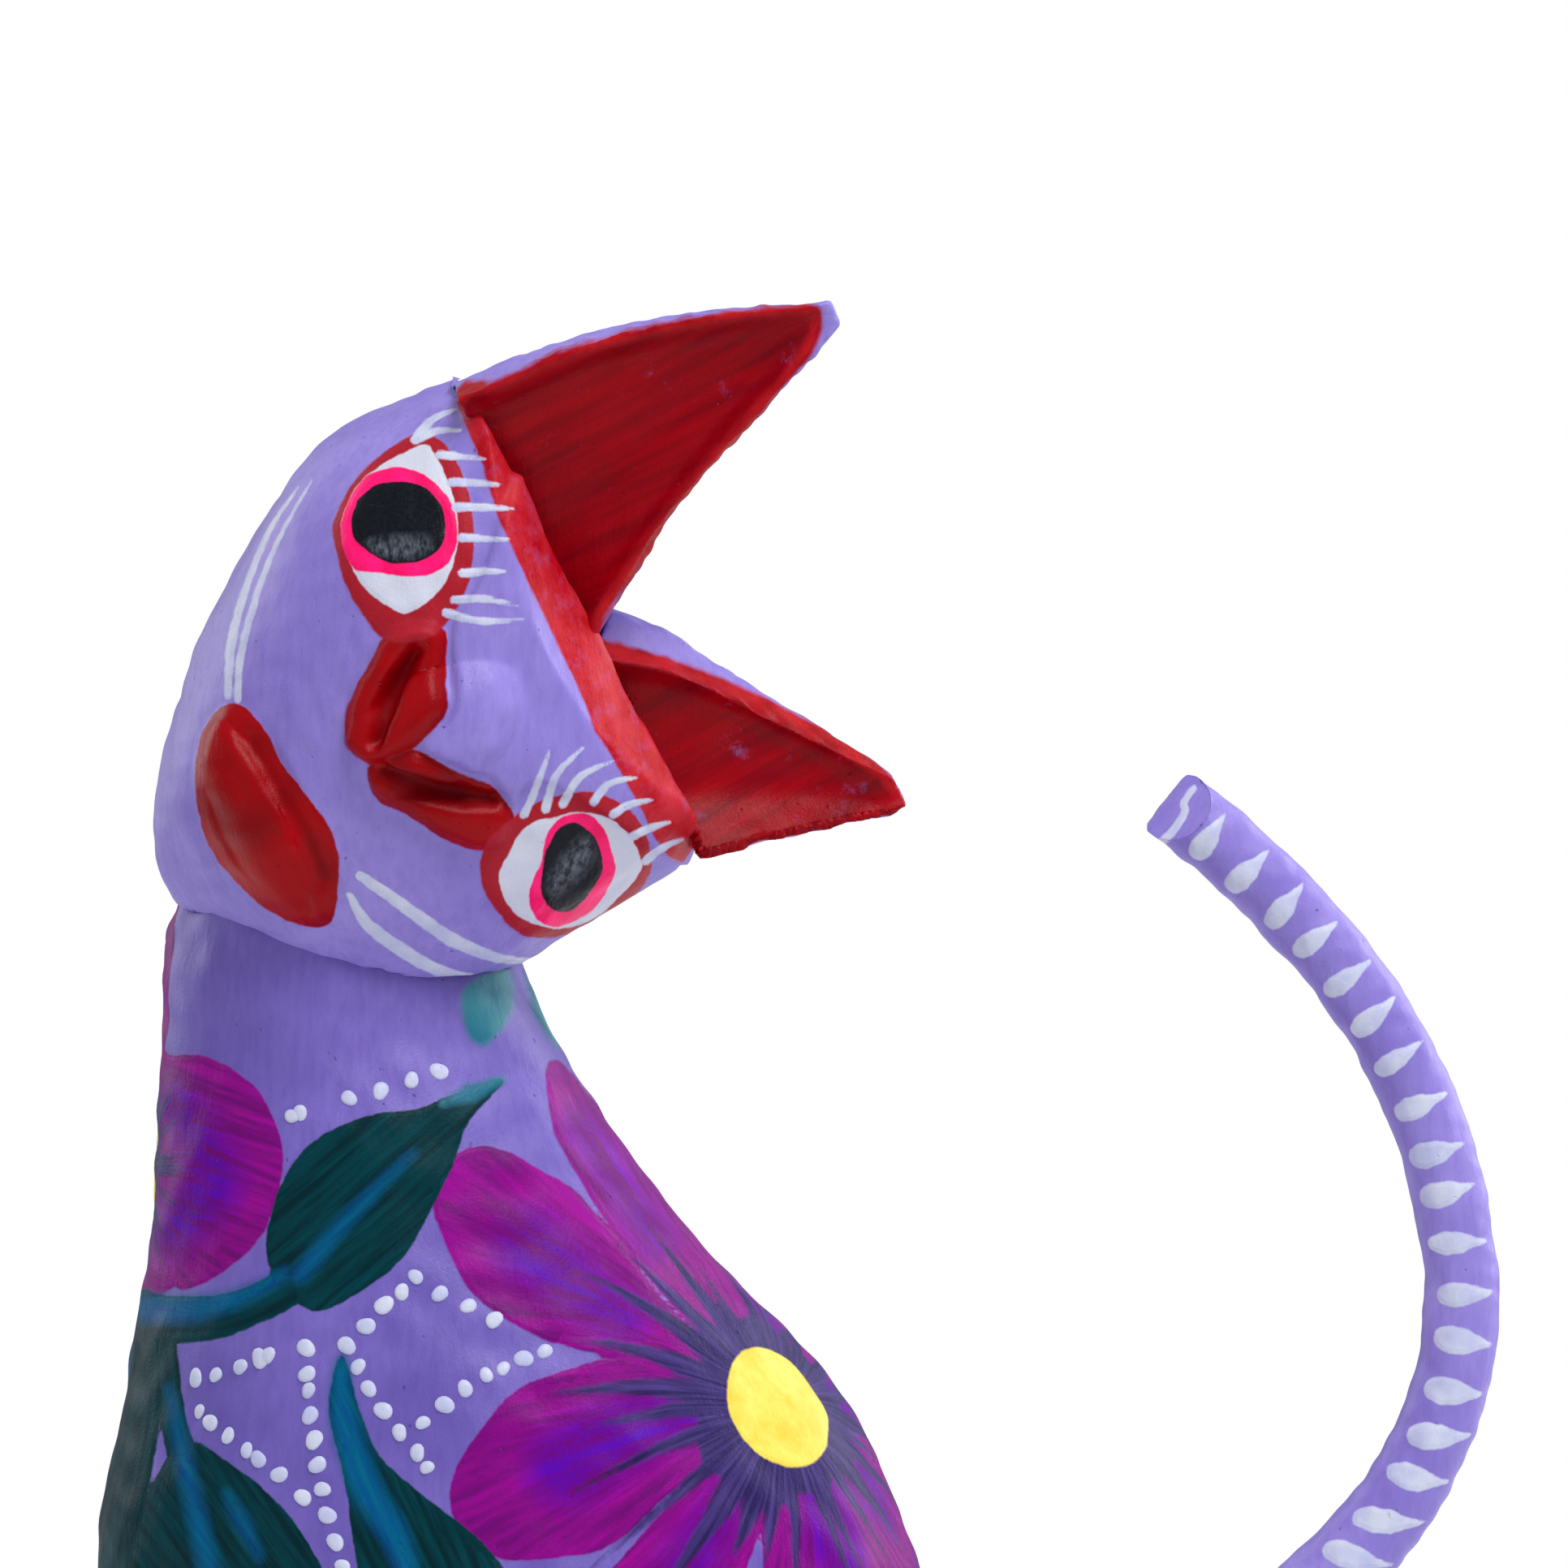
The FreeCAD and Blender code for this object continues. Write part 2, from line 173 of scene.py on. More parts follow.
class Carving:
    """A dense copy of a CAD node, with the paint distances kept beside its points."""

    def __init__(self, node, voxel, sanding):
        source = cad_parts[node]
        piece = bpy.data.objects.new(f"{node}_painted", source.data.copy())
        bpy.context.scene.collection.objects.link(piece)
        even = piece.modifiers.new("even", "REMESH")
        even.mode = "VOXEL"
        even.voxel_size = voxel / METRE
        sand = piece.modifiers.new("sand", "SMOOTH")
        sand.factor = 0.5
        sand.iterations = sanding
        graph = bpy.context.evaluated_depsgraph_get()
        mesh = bpy.data.meshes.new_from_object(piece.evaluated_get(graph))
        piece.modifiers.clear()
        piece.data = mesh
        self.node = node
        self.piece = piece
        self.layers = {}
        self.flow = np.zeros((len(mesh.vertices), 3))
        self.flow_depth = np.full(len(mesh.vertices), OUTSIDE)
        self.strokes = 0
        self.raised = []
        self.raised_faces = []
        self.read()

    def read(self):
        mesh = self.piece.data
        flat = np.empty(len(mesh.vertices) * 3)
        mesh.vertices.foreach_get("co", flat)
        self.points = flat.reshape(-1, 3) * METRE
        normals = np.empty(len(mesh.vertices) * 3)
        mesh.vertex_normals.foreach_get("vector", normals)
        self.normals = normals.reshape(-1, 3)

    def push(self, amount):
        """Moves the surface outwards by amount, in mm, along its normals."""
        self.shift(self.normals * amount[:, None])

    def shift(self, moves):
        """Moves each point by its own step, in mm."""
        self.piece.data.vertices.foreach_set("co", ((self.points + moves) / METRE).ravel())
        self.piece.data.update()
        self.read()

    def ready(self):
        """Call once carving is done and before anything is painted by looking at the surface."""
        self.tree = BVHTree.FromObject(self.piece, bpy.context.evaluated_depsgraph_get())

    def nearest(self, point):
        place, normal, _, _ = self.tree.find_nearest(Vector(point) / METRE)
        return np.array(place) * METRE, np.array(normal)

    def seen(self, spots, side=-1):
        """Places on the surface where the eye sees x and z on the middle plane.

        Side +1 looks with the eye's mirror image, from the figure's other side.
        """
        eye = Vector((EYE_X, side * EYE_AWAY, EYE_Z)) / METRE
        places = []
        for x, z in spots:
            target = Vector((x, 0.0, z)) / METRE
            place, _, _, _ = self.tree.ray_cast(eye, (target - eye).normalized())
            if place is None:
                place = self.tree.find_nearest(target)[0]
            places.append(np.array(place) * METRE)
        return np.array(places)

    def towards(self, azimuth, spots):
        """Places hit when looking level at the piece: azimuth 0 looks along +Y and 90 along -X.

        Each spot is how far right of the axis x = y = 0 it appears, and its height.
        """
        a = math.radians(azimuth)
        ahead = Vector((-math.sin(a), math.cos(a), 0.0))
        right = Vector((math.cos(a), math.sin(a), 0.0))
        places = []
        for across, z in spots:
            start = right * across / METRE - ahead * CLEAR_OF_FIGURE + Vector((0, 0, z / METRE))
            place, _, _, _ = self.tree.ray_cast(start, ahead)
            if place is None:
                place = self.tree.find_nearest(start + ahead * CLEAR_OF_FIGURE)[0]
            places.append(np.array(place) * METRE)
        return np.array(places)

    def lay(self, layer, depth):
        """Adds paint to a layer where its depth is greater than what is there."""
        if layer not in self.layers:
            self.layers[layer] = np.full(len(self.points), OUTSIDE)
        self.layers[layer] = np.maximum(self.layers[layer], np.maximum(depth, OUTSIDE))

    def lay_missing(self, layers):
        """Gives the piece each layer of its paint that nothing was painted in."""
        for name, *_ in layers:
            self.lay(name, np.full(len(self.points), OUTSIDE))

    def drag(self, depth, along, across):
        """Remembers the brush's direction where this stroke is the deepest so far."""
        self.strokes += 1
        deeper = depth > self.flow_depth
        self.flow_depth = np.where(deeper, depth, self.flow_depth)
        values = np.stack([along, across, np.full(len(along), self.strokes * NEXT_STROKE)], axis=1)
        self.flow[deeper] = values[deeper]

    def stroke(self, layer, places, widths, around=None):
        """A brush stroke on the surface through places, with its half width at each.

        The bristle marks run along it, or out from the point that around gives.
        """
        line = smooth_line(places, 5)
        given = np.linspace(0, 1, len(widths))
        radii = np.interp(np.linspace(0, 1, len(line)), given, widths)
        depth, along, off = stroke_distance(self.points, line, radii)
        self.lay(layer, depth)
        if around is not None:
            along, off = self.polar(around)
            off = off * FAN_WIDTH
        self.drag(depth, along, off)

    def polar(self, place):
        """How far each point is from a place on the surface, and in which direction, in radians."""
        _, normal = self.nearest(place)
        sideways = np.cross([0.0, 0.0, 1.0], normal)
        sideways /= np.linalg.norm(sideways)
        upwards = np.cross(normal, sideways)
        offset = self.points - place
        return np.linalg.norm(offset, axis=1), np.arctan2(offset @ upwards, offset @ sideways)

    def dots(self, places, radius, seed):
        """Raised touches of thick white paint, a little uneven in size and shape."""
        rng = np.random.default_rng(seed)
        around = np.arange(DOT_SIDES) * 2 * math.pi / DOT_SIDES
        for place in places:
            middle, normal = self.nearest(place)
            sideways = np.cross([0.31, 0.52, 0.8], normal)
            sideways /= np.linalg.norm(sideways)
            upwards = np.cross(normal, sideways)
            size = radius * rng.uniform(0.84, 1.16)
            uneven = 1 + 0.12 * np.sin(2 * around + rng.uniform(0, 6))
            uneven = uneven + 0.04 * np.sin(3 * around + rng.uniform(0, 6))
            first = len(self.points) + len(self.raised)
            for share, height in DOT_RINGS:
                out = size * share * uneven
                ring = middle + np.outer(out * np.cos(around), sideways)
                ring = ring + np.outer(out * np.sin(around), upwards)
                self.raised.extend(ring + normal * height)
            self.raised.append(middle + normal * DOT_HEIGHT)
            top = len(self.points) + len(self.raised) - 1
            for k in range(DOT_SIDES):
                after = (k + 1) % DOT_SIDES
                for ring in range(len(DOT_RINGS) - 1):
                    low, high = first + ring * DOT_SIDES, first + (ring + 1) * DOT_SIDES
                    self.raised_faces.append((low + k, low + after, high + after, high + k))
                last = first + (len(DOT_RINGS) - 1) * DOT_SIDES
                self.raised_faces.append((last + k, last + after, top))

    def add_raised(self):
        """Puts the raised paint on the mesh, and its place in every layer."""
        mesh = self.piece.data
        corners = np.empty(len(mesh.loops), int)
        mesh.loops.foreach_get("vertex_index", corners)
        faces = corners.reshape(-1, 4).tolist() + self.raised_faces
        points = np.concatenate([self.points, np.array(self.raised)]) / METRE
        whole = bpy.data.meshes.new(mesh.name)
        whole.from_pydata(points.tolist(), [], faces)
        self.piece.data = whole
        extra = np.full(len(self.raised), OUTSIDE)
        well_inside = np.full(len(self.raised), -OUTSIDE)
        for name in self.layers:
            self.layers[name] = np.concatenate([self.layers[name], extra])
        self.layers["dot"] = np.concatenate([np.full(len(self.points), OUTSIDE), well_inside])
        self.flow = np.concatenate([self.flow, np.zeros((len(self.raised), 3))])

    def store(self):
        """Writes the paint distances onto the mesh."""
        if self.raised:
            self.add_raised()
        mesh = self.piece.data
        for name, depth in self.layers.items():
            attribute = mesh.attributes.new(name, "FLOAT", "POINT")
            attribute.data.foreach_set("value", depth.astype(np.float32))
        attribute = mesh.attributes.new("flow", "FLOAT_VECTOR", "POINT")
        attribute.data.foreach_set("vector", self.flow.astype(np.float32).ravel())
        mesh.polygons.foreach_set("use_smooth", np.ones(len(mesh.polygons), bool))

    def finish(self, material, body):
        self.store()
        self.piece.data.materials.clear()
        self.piece.data.materials.append(material)
        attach(self.piece, body)
        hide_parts(self.node)


# ---- materials ----------------------------------------------------------------------------------


def paint_colour(red, green, blue):
    """Linear colour of a paint given as it looks on a screen, 0 to 255."""
    def linear(v):
        v /= 255.0
        return v / 12.92 if v <= 0.04045 else ((v + 0.055) / 1.055) ** 2.4
    return (linear(red), linear(green), linear(blue), 1.0)


class Shader:
    """Builds one node material, step by step."""

    def __init__(self, name):
        self.material = bpy.data.materials.new(name)
        self.material.use_nodes = True
        self.tree = self.material.node_tree
        self.tree.nodes.clear()
        place = self.node("ShaderNodeTexCoord").outputs["Object"]
        self.mm = self.node("ShaderNodeVectorMath", operation="SCALE", Vector=place, Scale=METRE).outputs[0]

    def node(self, kind, **settings):
        node = self.tree.nodes.new(kind)
        for name, value in settings.items():
            if name in node.inputs:
                self.put(node.inputs[name], value)
            else:
                setattr(node, name, value)
        return node

    def put(self, socket, value):
        if isinstance(value, bpy.types.NodeSocket):
            self.tree.links.new(value, socket)
        else:
            socket.default_value = value

    def maths(self, operation, a, b=0.0, c=0.0):
        node = self.tree.nodes.new("ShaderNodeMath")
        node.operation = operation
        for socket, value in zip(node.inputs, (a, b, c)):
            self.put(socket, value)
        return node.outputs[0]

    def noise(self, scale, detail=3.0, rough=0.55, vector=None, stretch=None):
        vector = vector or self.mm
        if stretch:
            vector = self.node("ShaderNodeVectorMath", operation="MULTIPLY", Vector=vector).outputs[0]
            vector.node.inputs[1].default_value = stretch
        node = self.node("ShaderNodeTexNoise", Vector=vector, Scale=scale, Detail=detail, Roughness=rough)
        return node.outputs[0]

    def ramp(self, value, low, high, out_low=0.0, out_high=1.0):
        node = self.tree.nodes.new("ShaderNodeMapRange")
        node.clamp = True
        for socket, v in zip(node.inputs, (value, low, high, out_low, out_high)):
            self.put(socket, v)
        return node.outputs[0]

    def mix(self, share, a, b):
        node = self.tree.nodes.new("ShaderNodeMix")
        node.data_type = "RGBA"
        for socket, v in ((node.inputs[0], share), (node.inputs[6], a), (node.inputs[7], b)):
            self.put(socket, v)
        return node.outputs[2]

    def layer(self, name):
        return self.node("ShaderNodeAttribute", attribute_name=name).outputs["Fac"]

    def flow(self):
        return self.node("ShaderNodeAttribute", attribute_name="flow").outputs["Vector"]

    def close(self, colour, roughness, height, specular=0.16):
        shader = self.node("ShaderNodeBsdfPrincipled")
        self.put(shader.inputs["Base Color"], colour)
        self.put(shader.inputs["Roughness"], roughness)
        self.put(shader.inputs["Specular IOR Level"], specular)
        if height is not None:
            bump = self.node("ShaderNodeBump", Strength=1.0, Distance=1.0 / METRE, Height=height)
            self.put(shader.inputs["Normal"], bump.outputs[0])
        out = self.node("ShaderNodeOutputMaterial")
        self.tree.links.new(shader.outputs[0], out.inputs[0])
        return self.material


LILAC = paint_colour(124, 107, 190)
LILAC_LIGHT = paint_colour(142, 126, 204)
LILAC_DEEP = paint_colour(104, 86, 174)
# Painted shade: the torso and legs get the head's lilac paint made darker, standing in for the shade on the
# upright flanks.
SHADED_BODY_LILAC = (paint_colour(93, 75, 162), paint_colour(112, 94, 180), paint_colour(76, 58, 146))
RED = paint_colour(152, 0, 8)
RED_DEEP = paint_colour(122, 0, 8)
EAR_RED = paint_colour(150, 0, 14)
EAR_DEEP = paint_colour(112, 0, 16)
# Painted highlight: a lighter red along the edge of each ear's red front.
RIM_HIGHLIGHT_RED = paint_colour(178, 22, 30)
BAND_RED = paint_colour(168, 2, 20)
BAND_LIGHT = paint_colour(186, 38, 50)
BRICK = paint_colour(158, 26, 42)
PINK = paint_colour(255, 20, 118)
PINK_DEEP = paint_colour(236, 0, 92)
BLACK = paint_colour(9, 12, 19)
BLACK_GREY = paint_colour(24, 30, 40)
# Painted reflection: a grey patch over the black in the lower part of each pupil, standing in for a
# reflection of the lamps.
PAINTED_REFLECTION = paint_colour(112, 118, 128)
PAINTED_REFLECTION_DARK = paint_colour(34, 40, 50)
EYE_WHITE = paint_colour(196, 198, 212)
BRUSH_WHITE = paint_colour(196, 200, 218)
BRUSH_THIN = paint_colour(176, 180, 214)
MAGENTA = paint_colour(104, 0, 106)
MAGENTA_LIT = paint_colour(146, 0, 136)
VIOLET = paint_colour(84, 0, 164)
TEAL = paint_colour(0, 36, 42)
TEAL_MID = paint_colour(0, 58, 66)
TEAL_LIGHT = paint_colour(0, 96, 122)
TEAL_BLUE = paint_colour(0, 72, 128)
TEAL_PALE = paint_colour(78, 156, 156)
YELLOW = paint_colour(238, 216, 98)
YELLOW_DEEP = paint_colour(230, 196, 64)
HALO = paint_colour(30, 18, 76)
HALO_LIGHT = paint_colour(66, 48, 116)
# Painted shade: near-black red laid along the carved grooves of the nose and mouth.
GROOVE_SHADE_RED = paint_colour(66, 0, 8)

# Paint layers in the order they go on: attribute, two colours, how they mingle, softness of the edge
# in mm, thickness in mm, roughness and how strongly the surface reflects.
HEAD_LAYERS = [
    ("face_red", RED_DEEP, RED, "soft", 0.12, 0.10, 0.34, 0.10),
    # Painted shade along the carved grooves.
    ("groove_shade", GROOVE_SHADE_RED, RED_DEEP, "soft", 0.9, 0.0, 0.5, 0.05),
    ("eye_rim", BRICK, BAND_RED, "grain", 0.14, 0.05, 0.5, 0.12),
    ("eye_white", EYE_WHITE, BRUSH_WHITE, "cloud", 0.10, 0.08, 0.42, 0.3),
    ("eye_pink", PINK_DEEP, PINK, "cloud", 0.10, 0.08, 0.4, 0.15),
    ("eye_black", BLACK, BLACK_GREY, "grain", 0.09, 0.08, 0.3, 0.12),
    # Painted reflection: a soft grey patch in the lower part of each pupil.
    ("eye_painted_reflection", PAINTED_REFLECTION_DARK, PAINTED_REFLECTION, "brushed", 1.3, 0.0, 0.3, 0.12),
    ("band", BAND_RED, BAND_LIGHT, "worn", 0.16, 0.08, 0.42, 0.10),
    ("white_line", BRUSH_THIN, BRUSH_WHITE, "cloud", 0.12, 0.12, 0.45, 0.3),
]
EAR_LAYERS = [
    ("ear_red", EAR_DEEP, EAR_RED, "thin", 0.25, 0.06, 0.36, 0.08),
    # Painted highlight along the edge of the red front, thinned in places.
    ("ear_rim_highlight", EAR_RED, RIM_HIGHLIGHT_RED, "worn", 0.5, 0.0, 0.42, 0.08),
]
BODY_LAYERS = [
    ("magenta", MAGENTA, MAGENTA_LIT, "streak", 0.14, 0.08, 0.4, 0.10),
    ("violet", MAGENTA, VIOLET, "streak", 2.2, 0.0, 0.4, 0.08),
    ("halo", HALO, HALO_LIGHT, "streak", 0.3, 0.03, 0.45, 0.15),
    ("teal", TEAL, TEAL_MID, "streak", 0.12, 0.08, 0.4, 0.06),
    ("blue", TEAL_BLUE, TEAL_LIGHT, "streak", 0.9, 0.0, 0.4, 0.06),
    ("pale", TEAL_PALE, TEAL_LIGHT, "soft", 0.5, 0.06, 0.45, 0.2),
    ("yellow", YELLOW_DEEP, YELLOW, "cloud", 0.16, 0.12, 0.42, 0.2),
    ("dot", BRUSH_THIN, BRUSH_WHITE, "cloud", 0.12, 0.0, 0.42, 0.3),
]
TAIL_LAYERS = [
    ("white_line", BRUSH_THIN, BRUSH_WHITE, "cloud", 0.12, 0.14, 0.45, 0.3),
]
LILAC_SHINE = 0.45


# How the two colours of a layer mingle: noise per mm, octaves, roughness, stretch, the noise between
# which it goes from the first colour to the second, and how much of the second there is at most.
MINGLING = {
    "thin": (0.8, 4.0, 0.6, (0.05, 0.5, 1.0), 0.30, 0.62, 1.0),
    "streak": (0.8, 4.0, 0.6, (0.10, 1.3, 1.0), 0.38, 0.66, 1.0),
    "soft": (0.10, 2.0, 0.5, None, 0.25, 0.6, 1.0),
    "brushed": (1.1, 4.0, 0.7, (1.6, 1.0, 0.6), 0.4, 0.66, 1.0),
    "grain": (2.2, 3.0, 0.7, None, 0.42, 0.72, 0.6),
    "cloud": (0.22, 4.0, 0.6, None, 0.36, 0.64, 1.0),
    "worn": (0.22, 4.0, 0.6, None, 0.36, 0.64, 1.0),
}
ALONG_THE_BRUSH = ("streak", "thin")
# Where a layer has gone thin: noise per mm, octaves, roughness, the noise between which it thins, and
# how much of the colour under it then shows.
THINNING = {
    "thin": (0.16, 8.0, 0.78, 0.60, 0.70, 0.22),
    "worn": (0.5, 5.0, 0.7, 0.5, 0.75, 0.2),
}
EDGE_WOBBLE = 0.55
PIT_COLOUR = paint_colour(60, 40, 110)


def painted(name, layers, ground=(LILAC, LILAC_LIGHT, LILAC_DEEP)):
    """Lilac ground coat over sanded wood, with painted layers on top."""
    s = Shader(name)
    plain, light, deep = ground
    brush = s.noise(0.9, 4.0, 0.6, stretch=(1.0, 1.0, 0.25))
    clouds = s.noise(0.06, 3.0, 0.5)
    fine = s.noise(3.2, 3.0, 0.6)
    colour = s.mix(s.ramp(clouds, 0.35, 0.68), plain, light)
    colour = s.mix(s.maths("MULTIPLY", s.ramp(brush, 0.42, 0.75), 0.4), colour, deep)
    pits = s.ramp(s.noise(1.15, 1.0, 0.4), 0.17, 0.24, 1.0, 0.0)
    colour = s.mix(s.maths("MULTIPLY", pits, 0.5), colour, PIT_COLOUR)
    roughness = s.ramp(fine, 0.3, 0.7, 0.40, 0.56)
    height = s.maths("MULTIPLY", brush, 0.10)
    height = s.maths("MULTIPLY_ADD", fine, 0.05, height)
    height = s.maths("MULTIPLY_ADD", pits, -0.12, height)
    wobble = s.maths("SUBTRACT", s.noise(0.55, 3.0, 0.6), 0.5)
    flow = s.flow() if any(layer[3] in ALONG_THE_BRUSH for layer in layers) else None
    shine = LILAC_SHINE
    for attribute, first, second, mingle, edge, thickness, gloss, layer_shine in layers:
        depth = s.maths("MULTIPLY_ADD", wobble, EDGE_WOBBLE, s.layer(attribute))
        mask = s.ramp(depth, -edge, edge)
        scale, detail, rough, stretch, low, high, most = MINGLING[mingle]
        place = flow if mingle in ALONG_THE_BRUSH else None
        noise = s.noise(scale, detail, rough, vector=place, stretch=stretch)
        tint = s.mix(s.ramp(noise, low, high, 0.0, most), first, second)
        cover = mask
        if mingle in THINNING:
            scale, detail, rough, low, high, shows = THINNING[mingle]
            bare = s.ramp(s.noise(scale, detail, rough), low, high)
            cover = s.maths("MULTIPLY", mask, s.maths("MULTIPLY_ADD", bare, -shows, 1.0))
        colour = s.mix(cover, colour, tint)
        level = s.maths("MULTIPLY_ADD", s.ramp(fine, 0.3, 0.7), 0.10, gloss - 0.05)
        roughness = s.maths("MULTIPLY_ADD", mask, s.maths("SUBTRACT", level, roughness), roughness)
        shine = s.maths("MULTIPLY_ADD", mask, s.maths("SUBTRACT", layer_shine, shine), shine)
        height = s.maths("MULTIPLY_ADD", s.ramp(depth, -edge, edge + 0.5), thickness, height)
    return s.close(colour, roughness, height, shine)


def bare_wood(name):
    s = Shader(name)
    rings = s.noise(0.7, 4.0, 0.6, stretch=(1.0, 1.0, 0.12))
    colour = s.mix(s.ramp(rings, 0.35, 0.65), paint_colour(196, 160, 112), paint_colour(222, 192, 146))
    return s.close(colour, s.ramp(rings, 0.3, 0.7, 0.55, 0.7), s.maths("MULTIPLY", rings, 0.12))


def nail_steel(name):
    s = Shader(name)
    spots = s.noise(1.4, 4.0, 0.6)
    colour = s.mix(s.ramp(spots, 0.4, 0.62), paint_colour(118, 106, 168), paint_colour(138, 120, 190))
    return s.close(colour, s.ramp(spots, 0.3, 0.7, 0.4, 0.6), s.maths("MULTIPLY", spots, 0.05))


# ---- the face -----------------------------------------------------------------------------------
# Outlines below are x and z on the middle plane, as the eye sees them.

EYE_RIM_RIGHT = [
    (-12.6, 231.7), (-10.4, 231.2), (-8.4, 229.2), (-7.0, 226.5), (-5.9, 222.5), (-5.6, 218.5),
    (-5.9, 214.9), (-6.8, 211.8), (-8.4, 209.0), (-10.5, 206.8), (-14.0, 205.8), (-17.3, 206.7),
    (-19.5, 209.6), (-21.3, 212.7), (-22.4, 216.3), (-23.0, 219.4), (-22.4, 222.1), (-20.6, 225.4),
    (-17.7, 228.5), (-15.1, 230.3),
]
EYE_WHITE_RIGHT = [
    (-11.7, 230.2), (-10.4, 229.0), (-9.1, 226.3), (-8.1, 223.4), (-7.6, 220.3), (-7.8, 217.1),
    (-8.8, 213.8), (-10.8, 211.3), (-12.6, 210.0), (-14.3, 209.4), (-16.0, 210.2), (-18.4, 211.8),
    (-20.2, 214.3), (-21.6, 217.6), (-21.9, 220.7), (-21.1, 223.2), (-19.8, 225.4), (-17.6, 227.3),
    (-14.5, 229.1),
]
EYE_PINK_RIGHT = [
    (-18.9, 226.3), (-15.7, 227.4), (-13.1, 227.1), (-10.4, 225.6), (-8.4, 222.9), (-7.7, 220.3),
    (-7.9, 217.4), (-9.5, 214.9), (-12.6, 214.0), (-17.1, 214.4), (-20.3, 214.9), (-21.7, 217.4),
    (-22.0, 220.0), (-21.2, 223.1),
]
EYE_BLACK_RIGHT = [
    (-20.7, 220.3), (-20.0, 223.2), (-17.7, 225.2), (-14.8, 225.6), (-12.2, 225.2), (-10.2, 223.6),
    (-9.3, 221.6), (-9.2, 218.9), (-10.2, 217.1), (-12.2, 215.9), (-15.5, 215.6), (-18.2, 216.7),
    (-20.2, 218.5),
]
EYE_RIM_LEFT = [
    (-0.6, 184.4), (0.8, 185.4), (3.5, 186.6), (7.9, 187.5), (11.5, 186.6), (14.2, 184.6),
    (15.7, 181.9), (16.3, 179.4), (16.0, 177.0), (14.2, 174.7), (11.5, 172.5), (8.4, 170.7),
    (4.8, 169.6), (1.2, 169.5), (-1.0, 170.7), (-3.2, 173.2), (-4.6, 176.1), (-4.8, 178.7),
    (-3.8, 181.6),
]
EYE_WHITE_LEFT = [
    (4.4, 184.3), (1.7, 183.7), (-0.3, 181.9), (-1.4, 179.6), (-2.5, 177.4), (-2.2, 175.2),
    (-1.0, 172.9), (1.2, 171.4), (3.9, 170.6), (7.0, 170.9), (10.2, 172.5), (12.4, 174.7),
    (14.2, 176.5), (15.1, 178.1), (14.8, 179.6), (13.7, 181.9), (11.5, 183.9), (9.3, 184.7),
    (6.6, 184.9),
]
EYE_PINK_LEFT = [
    (6.4, 184.7), (8.6, 184.6), (10.4, 182.8), (11.3, 180.5), (11.8, 177.9), (10.8, 175.2),
    (8.8, 172.7), (6.1, 171.2), (3.9, 170.8), (1.9, 172.1), (1.1, 174.7), (1.9, 177.0),
    (2.8, 179.2), (3.2, 181.9), (4.6, 183.9),
]
EYE_BLACK_LEFT = [
    (6.1, 183.6), (7.7, 183.3), (9.3, 181.7), (10.2, 179.6), (10.1, 177.4), (8.8, 175.2),
    (7.0, 173.2), (5.5, 172.6), (3.7, 173.2), (2.7, 175.2), (2.8, 177.4), (3.2, 179.9),
    (4.4, 182.3),
]
# Lines along which the painted reflection lies, in the lower part of each pupil.
REFLECTION_LINE_RIGHT = [(-18.0, 217.3), (-15.0, 217.2), (-12.0, 217.8)]
REFLECTION_LINE_LEFT = [(4.4, 176.0), (6.6, 178.4), (8.6, 181.2)]
NOSTRIL_RIGHT = [
    (-9.2, 207.4), (-9.0, 204.2), (-9.0, 200.8), (-8.9, 197.5), (-10.4, 195.3), (-12.9, 192.9),
    (-15.8, 191.4), (-18.6, 190.8), (-21.1, 192.6), (-21.6, 194.5), (-21.2, 197.9), (-19.8, 201.1),
    (-18.2, 203.8), (-16.6, 206.6), (-12.8, 208.4),
]
NOSTRIL_LEFT = [
    (-12.9, 192.6), (-10.4, 191.4), (-7.3, 189.7), (-3.7, 188.3), (-1.8, 186.4), (-0.6, 184.2),
    (-1.8, 181.4), (-4.6, 180.2), (-7.3, 180.8), (-10.4, 182.3), (-13.9, 184.6), (-17.1, 186.1),
    (-18.4, 188.1), (-18.6, 190.6), (-16.0, 192.0),
]
GROOVE_RIGHT = [(-12.8, 204.6), (-14.8, 201.1), (-16.3, 197.4), (-17.4, 193.6)]
GROOVE_LEFT = [(-16.6, 190.2), (-13.1, 188.8), (-9.5, 187.7), (-5.9, 187.0), (-3.4, 186.6)]
MOUTH = [
    (-35.6, 198.4), (-33.4, 197.5), (-30.9, 194.4), (-29.4, 191.2), (-26.5, 187.4), (-24.0, 184.0),
    (-22.4, 180.5), (-22.3, 176.8), (-23.0, 171.6), (-25.9, 170.8), (-30.3, 172.4), (-34.1, 175.5),
    (-37.8, 179.9), (-39.4, 184.3), (-40.0, 189.3), (-39.4, 193.7), (-37.8, 196.9),
]
MOUTH_GROOVE = [(-33.0, 193.6), (-29.6, 188.2), (-26.2, 182.6), (-24.0, 177.0)]
MOUTH_RIDGE = [(-36.0, 194.6), (-32.2, 189.0), (-28.4, 183.0), (-25.2, 176.6), (-23.8, 172.6)]
BRIDGE = [
    (-8.4, 208.4), (-8.4, 203.0), (-8.3, 197.4), (-12.4, 193.0), (-7.6, 190.6), (-3.6, 188.9),
    (-0.6, 185.4), (4.0, 188.0), (30.0, 176.0), (40.0, 210.0), (8.0, 240.0), (-5.0, 214.0),
]
BAND_EDGE = [
    (-8.6, 237.5), (-8.1, 236.2), (-6.7, 232.7), (-4.5, 227.6), (-2.7, 221.4), (0.8, 213.8),
    (4.3, 206.3), (7.1, 200.6), (9.3, 195.0), (12.4, 190.0), (15.2, 184.9), (16.8, 181.5),
    (18.6, 179.2), (21.5, 178.2),
]
